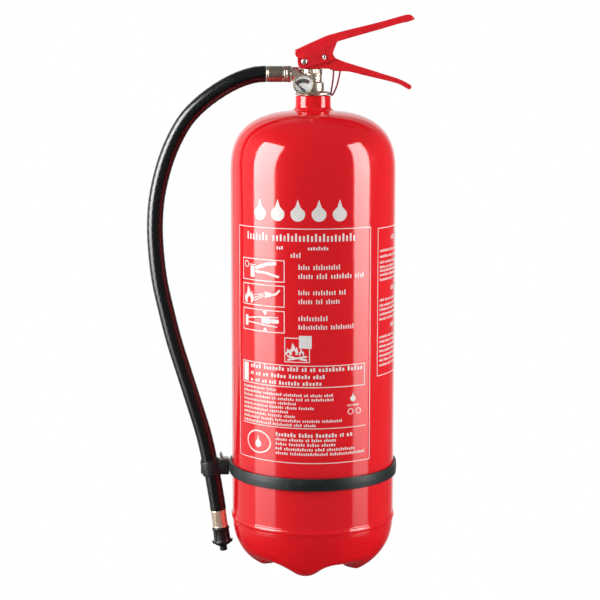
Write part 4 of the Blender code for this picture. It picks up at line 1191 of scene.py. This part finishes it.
def gauge():
    """Pressure gauge: hexagon and case, rim, dial with its printed zones, pointer and glass."""
    at = Matrix.Translation((GAUGE_X, 0, GAUGE_Z)) @ turn_about("X", 90)
    case = [(1.0, 10.2), (3.4, 10.2), (3.8, 10.8), (3.8, 18.9), (8.0, 18.9), (8.0, 23.0), (10.7, 23.6),
            (10.7, 31.6), (9.6, 31.6), (9.6, 25.2), (1.0, 25.2)]
    body = solid("gauge_shell", turned(round_corners(case, 0.35, 3, closed=True), 96), at)
    hexagon = turned([(4.5, 19.6), (10.3, 19.6), (11.0, 20.2), (11.0, 22.8), (10.3, 23.4), (4.5, 23.4)], 6)
    combine(body, "UNION", solid("tool", hexagon, at))
    dress(applied(body), "gauge_metal", ["gauge_case"], sharp=30)

    rim = [(9.2, 31.9), (11.0, 31.9), (11.2, 32.2), (11.2, 32.9), (10.8, 33.5), (10.2, 33.6), (9.6, 33.2), (9.2, 32.6)]
    piece("gauge_rim", turned(round_corners(rim, 0.3, 3, closed=True), 96), "gauge_metal", ["gauge_bezel"], at=at)
    glass = [(0, 30.5), (9.1, 30.5), (9.4, 30.7), (9.4, 31.2), (9.1, 31.5), (5.0, 31.65), (0, 31.75)]
    piece("gauge_glass", turned(glass, 64, closed=False), "clear_lens", ["gauge_lens"], at=at)
    face = [(0, 27.4), (9.2, 27.4), (9.3, 27.5), (9.3, 28.1), (9.2, 28.2), (0, 28.2)]
    piece("gauge_face", turned(face, 64, closed=False), "dial_white", ["gauge_dial"], at=at)

    pivot_z = GAUGE_Z - NEEDLE_DROP
    zones = [(-52.0, -13.0, "ink_red"), (-13.0, 7.0, "ink_green"), (7.0, 38.0, "ink_red")]
    for number, (start, end, finish) in enumerate(zones):
        angles = [start + (end - start) * i / 11 for i in range(12)]
        outer = [dial_point(angle, 12.0) for angle in angles]
        inner = [dial_point(angle, 7.9) for angle in angles[::-1]]
        bm = prism(outer + inner, 0.04)
        piece(f"gauge_zone_{number}", bm, finish, at=Matrix.Translation((0, -28.27, 0)))

    bm = bmesh.new()
    ticks = [(-52.0, 1.3), (-13.0, 1.3), (7.0, 1.3), (38.0, 1.3)]
    for angle, length in ticks:
        tick = prism([(-0.12, 6.9), (0.12, 6.9), (0.12, 6.9 + length), (-0.12, 6.9 + length)], 0.04)
        tick.transform(Matrix.Translation((GAUGE_X, -28.27, pivot_z)) @ turn_about("Y", angle))
        mesh = bpy.data.meshes.new("tick")
        tick.to_mesh(mesh)
        tick.free()
        bm.from_mesh(mesh)
        bpy.data.meshes.remove(mesh)
    piece("gauge_ticks", bm, "needle_black")

    pointer = [(-1.0, -2.6), (1.0, -2.6), (0.85, 3.0), (0.4, 8.9), (-0.4, 8.9), (-0.85, 3.0)]
    spin = Matrix.Translation((GAUGE_X, -NEEDLE_FRONT, pivot_z)) @ turn_about("Y", -NEEDLE_REST)
    needle = solid("gauge_pointer", prism(pointer, 0.3), spin)
    hub = [(0, -3.4), (0.55, -3.4), (0.55, -0.5), (1.8, -0.5), (2.0, -0.3), (2.0, 0.5), (1.8, 0.75), (0, 0.8)]
    tip = Matrix.Translation((GAUGE_X, -NEEDLE_FRONT, pivot_z)) @ turn_about("X", 90)
    combine(needle, "UNION", solid("tool", turned(hub, 32, closed=False), tip))
    dress(applied(needle), "needle_black", ["gauge_needle"], "needle", 30)
    cap = [(0, 0.82), (0.8, 0.82), (0.8, 1.0), (0.6, 1.15), (0, 1.2)]
    piece("gauge_pointer_cap", turned(cap, 24, closed=False), "steel", body="needle", at=tip)


# ---------------------------------------------------------------- hose

def nozzle_place():
    return (Matrix.Translation((FERRULE_LOW[0], 0, FERRULE_LOW[1]))
            @ turn_about("Y", 180 - NOZZLE_TILT))


def braid(length, angle):
    """Height of the woven cover at a place on the hose."""
    pitch = 3.1
    turns = 14
    first = math.sin(math.tau * length / pitch + turns * angle)
    second = math.sin(math.tau * length / pitch - turns * angle)
    return 0.19 * (abs(first) ** 0.7 + abs(second) ** 0.7 - 1.0)


def hose_route():
    tilt = math.radians(NOZZLE_TILT)
    route = curve_through([(x, 0, z) for x, z in HOSE_ROUTE], 0.85)
    start = route[0] + HOSE_STUB * Vector((1, 0, 0))
    end = route[-1] + HOSE_STUB * Vector((math.sin(tilt), 0, -math.cos(tilt)))
    return [start] + route + [end]


def hose():
    """The braided hose with the pieces at its lower end."""
    tips = hose_ends()
    route = hose_route()
    cover = piece("hose_cover", swept(route, HOSE_R - 0.05, HOSE_SIDES, relief=braid), "hose_rubber", ["hose"],
                  sharp=80)


def hose_ends():
    """Coupling, crimped sleeves and nozzle. Returns the pieces at the lower end."""
    along = Matrix.Translation((0, 0, OUTLET_Z)) @ turn_about("Y", -90)
    coupling = [(2.6, 13.2), (4.3, 13.2), (4.3, 23.8), (8.5, 23.8), (8.9, 24.2), (8.9, 27.8), (8.5, 28.1),
                (8.5, 28.4), (8.9, 29.0), (8.9, 30.6), (8.6, 31.0), (8.6, 32.6), (4.4, 32.6), (4.4, 49.8),
                (2.6, 49.8)]
    piece("coupling", turned(round_corners(coupling, 0.2, 3, closed=True), 96), "dull_brass", ["hose_adapter"], at=along)
    upper = [(4.8, 32.8), (8.6, 32.8), (8.75, 33.0), (8.75, 48.0), (8.5, 48.4), (8.5, 49.0), (8.85, 49.4), (8.85, 50.1), (8.5, 50.5), (4.8, 50.5)]
    piece("sleeve_upper", turned(round_corners(upper, 0.3, 3, closed=True), 96), "dull_brass", ["ferrule_upper"],
          at=along)

    low = nozzle_place()
    lower = [(4.8, -9.9), (8.3, -9.9), (8.7, -9.4), (8.7, -8.8), (8.5, -8.4), (8.5, 7.6), (8.35, 8.0), (8.7, 8.5),
             (8.7, 9.5), (8.3, 9.9), (4.8, 9.9)]
    sleeve = piece("sleeve_lower", turned(round_corners(lower, 0.3, 3, closed=True), 96), "brass",
                   ["ferrule_lower"], at=low)

    def ribs(radius, height, angle):
        """Eight grip ribs, and two lugs near the mouth."""
        if radius < 6.5:
            return radius
        rib = max(0.0, 1 - abs((8 * angle / math.tau + 0.5) % 1 - 0.5) / 0.16)
        if 12.4 < height < 25.6:
            radius += 0.95 * min(1.0, 2.2 * rib)
        lug = max(0.0, 1 - abs((2 * angle / math.tau + 0.5) % 1 - 0.5) / 0.055)
        if 25.2 < height < 28.4:
            radius += 1.9 * min(1.0, 2.5 * lug)
        return radius

    shell = [(4.7, 10.3), (9.4, 10.3), (9.7, 10.7), (9.7, 11.9), (9.3, 12.3), (8.0, 12.9), (8.1, 18.0), (8.3, 24.6),
             (9.3, 25.4), (9.6, 26.6), (9.3, 28.0), (7.6, 30.2), (4.6, 31.2), (2.6, 31.4), (2.3, 31.2), (2.3, 14.2),
             (4.7, 14.2)]
    nozzle = piece("nozzle_shell", turned(round_corners(shell, 0.4, 3, closed=True), 192, shape=ribs),
                   "black_plastic", ["nozzle_body"], at=low)
    mouth = [(1.6, 31.8), (3.9, 31.8), (4.2, 32.1), (4.2, 36.4), (3.7, 37.4), (2.2, 37.4), (1.6, 36.6)]
    tip = piece("nozzle_mouth", turned(round_corners(mouth, 0.3, 3, closed=True), 64), "black_plastic",
                ["nozzle_tip"], at=low)
    return [sleeve, frame["nodes"]["nozzle_tail"], nozzle, tip]


# ---------------------------------------------------------------- strap

def strap():
    """Rubber band, hose clip and the small metal clip on the strap."""
    low, high = STRAP_Z
    band = [(BODY_R + 0.35, low), (STRAP_R - 0.1, low), (STRAP_R, low + 1.4), (STRAP_R + 0.25, (low + high) / 2),
            (STRAP_R, high - 1.4), (STRAP_R - 0.1, high), (BODY_R + 0.35, high)]
    piece("strap_band", turned(round_corners(band, 0.8, 4, closed=True), ROUND), "black_rubber", ["body_strap"],
          sharp=60)

    at = Matrix.Translation((CLIP[0], 0, CLIP[1])) @ turn_about("Y", -CLIP_TILT)
    sleeve = [(0, -8.2), (10.6, -8.2), (11.1, -7.7), (11.1, 7.7), (10.6, 8.2), (0, 8.2)]
    clip = solid("clip_moulding", turned(sleeve, 96, closed=False), at)
    combine(clip, "UNION", solid("tool", block((-106.5, -7.5, 101.5), (-STRAP_R - 0.4, 7.5, 116.5))),
            solid("tool", block((-125.4, 1.0, 100.2), (-119.0, 5.0, 117.0))))
    combine(clip, "DIFFERENCE", solid("tool", rod(9.35, -20, 20, 96), at))
    soften(clip, 0.45, 3, 40)
    dress(applied(clip), "black_plastic", ["hose_clip"], sharp=40)

    buckle = [(-103.6, 117.0), (-94.2, 117.0), (-94.2, 119.6), (-100.2, 119.6), (-102.4, 125.2),
              (-104.2, 124.8), (-103.2, 119.6)]
    tab = solid("buckle_clip", prism(round_corners(buckle, 0.5, 3, closed=True), 5.0))
    soften(tab, 0.25, 2, 40)
    dress(applied(tab), "steel", ["strap_buckle"], sharp=40)


def finish_frame_nodes():
    """Every CAD node gets the finished material of its slot."""
    for name, obj in frame["nodes"].items():
        obj.data.materials.clear()
        obj.data.materials.append(MATERIALS[SLOTS[name]])


studio()
make_materials()
finish_frame_nodes()
hose()
tank()
front_print()
side_print()
valve()
lever()
handle()
handle_hardware()
stem_spring()
gauge()
strap()
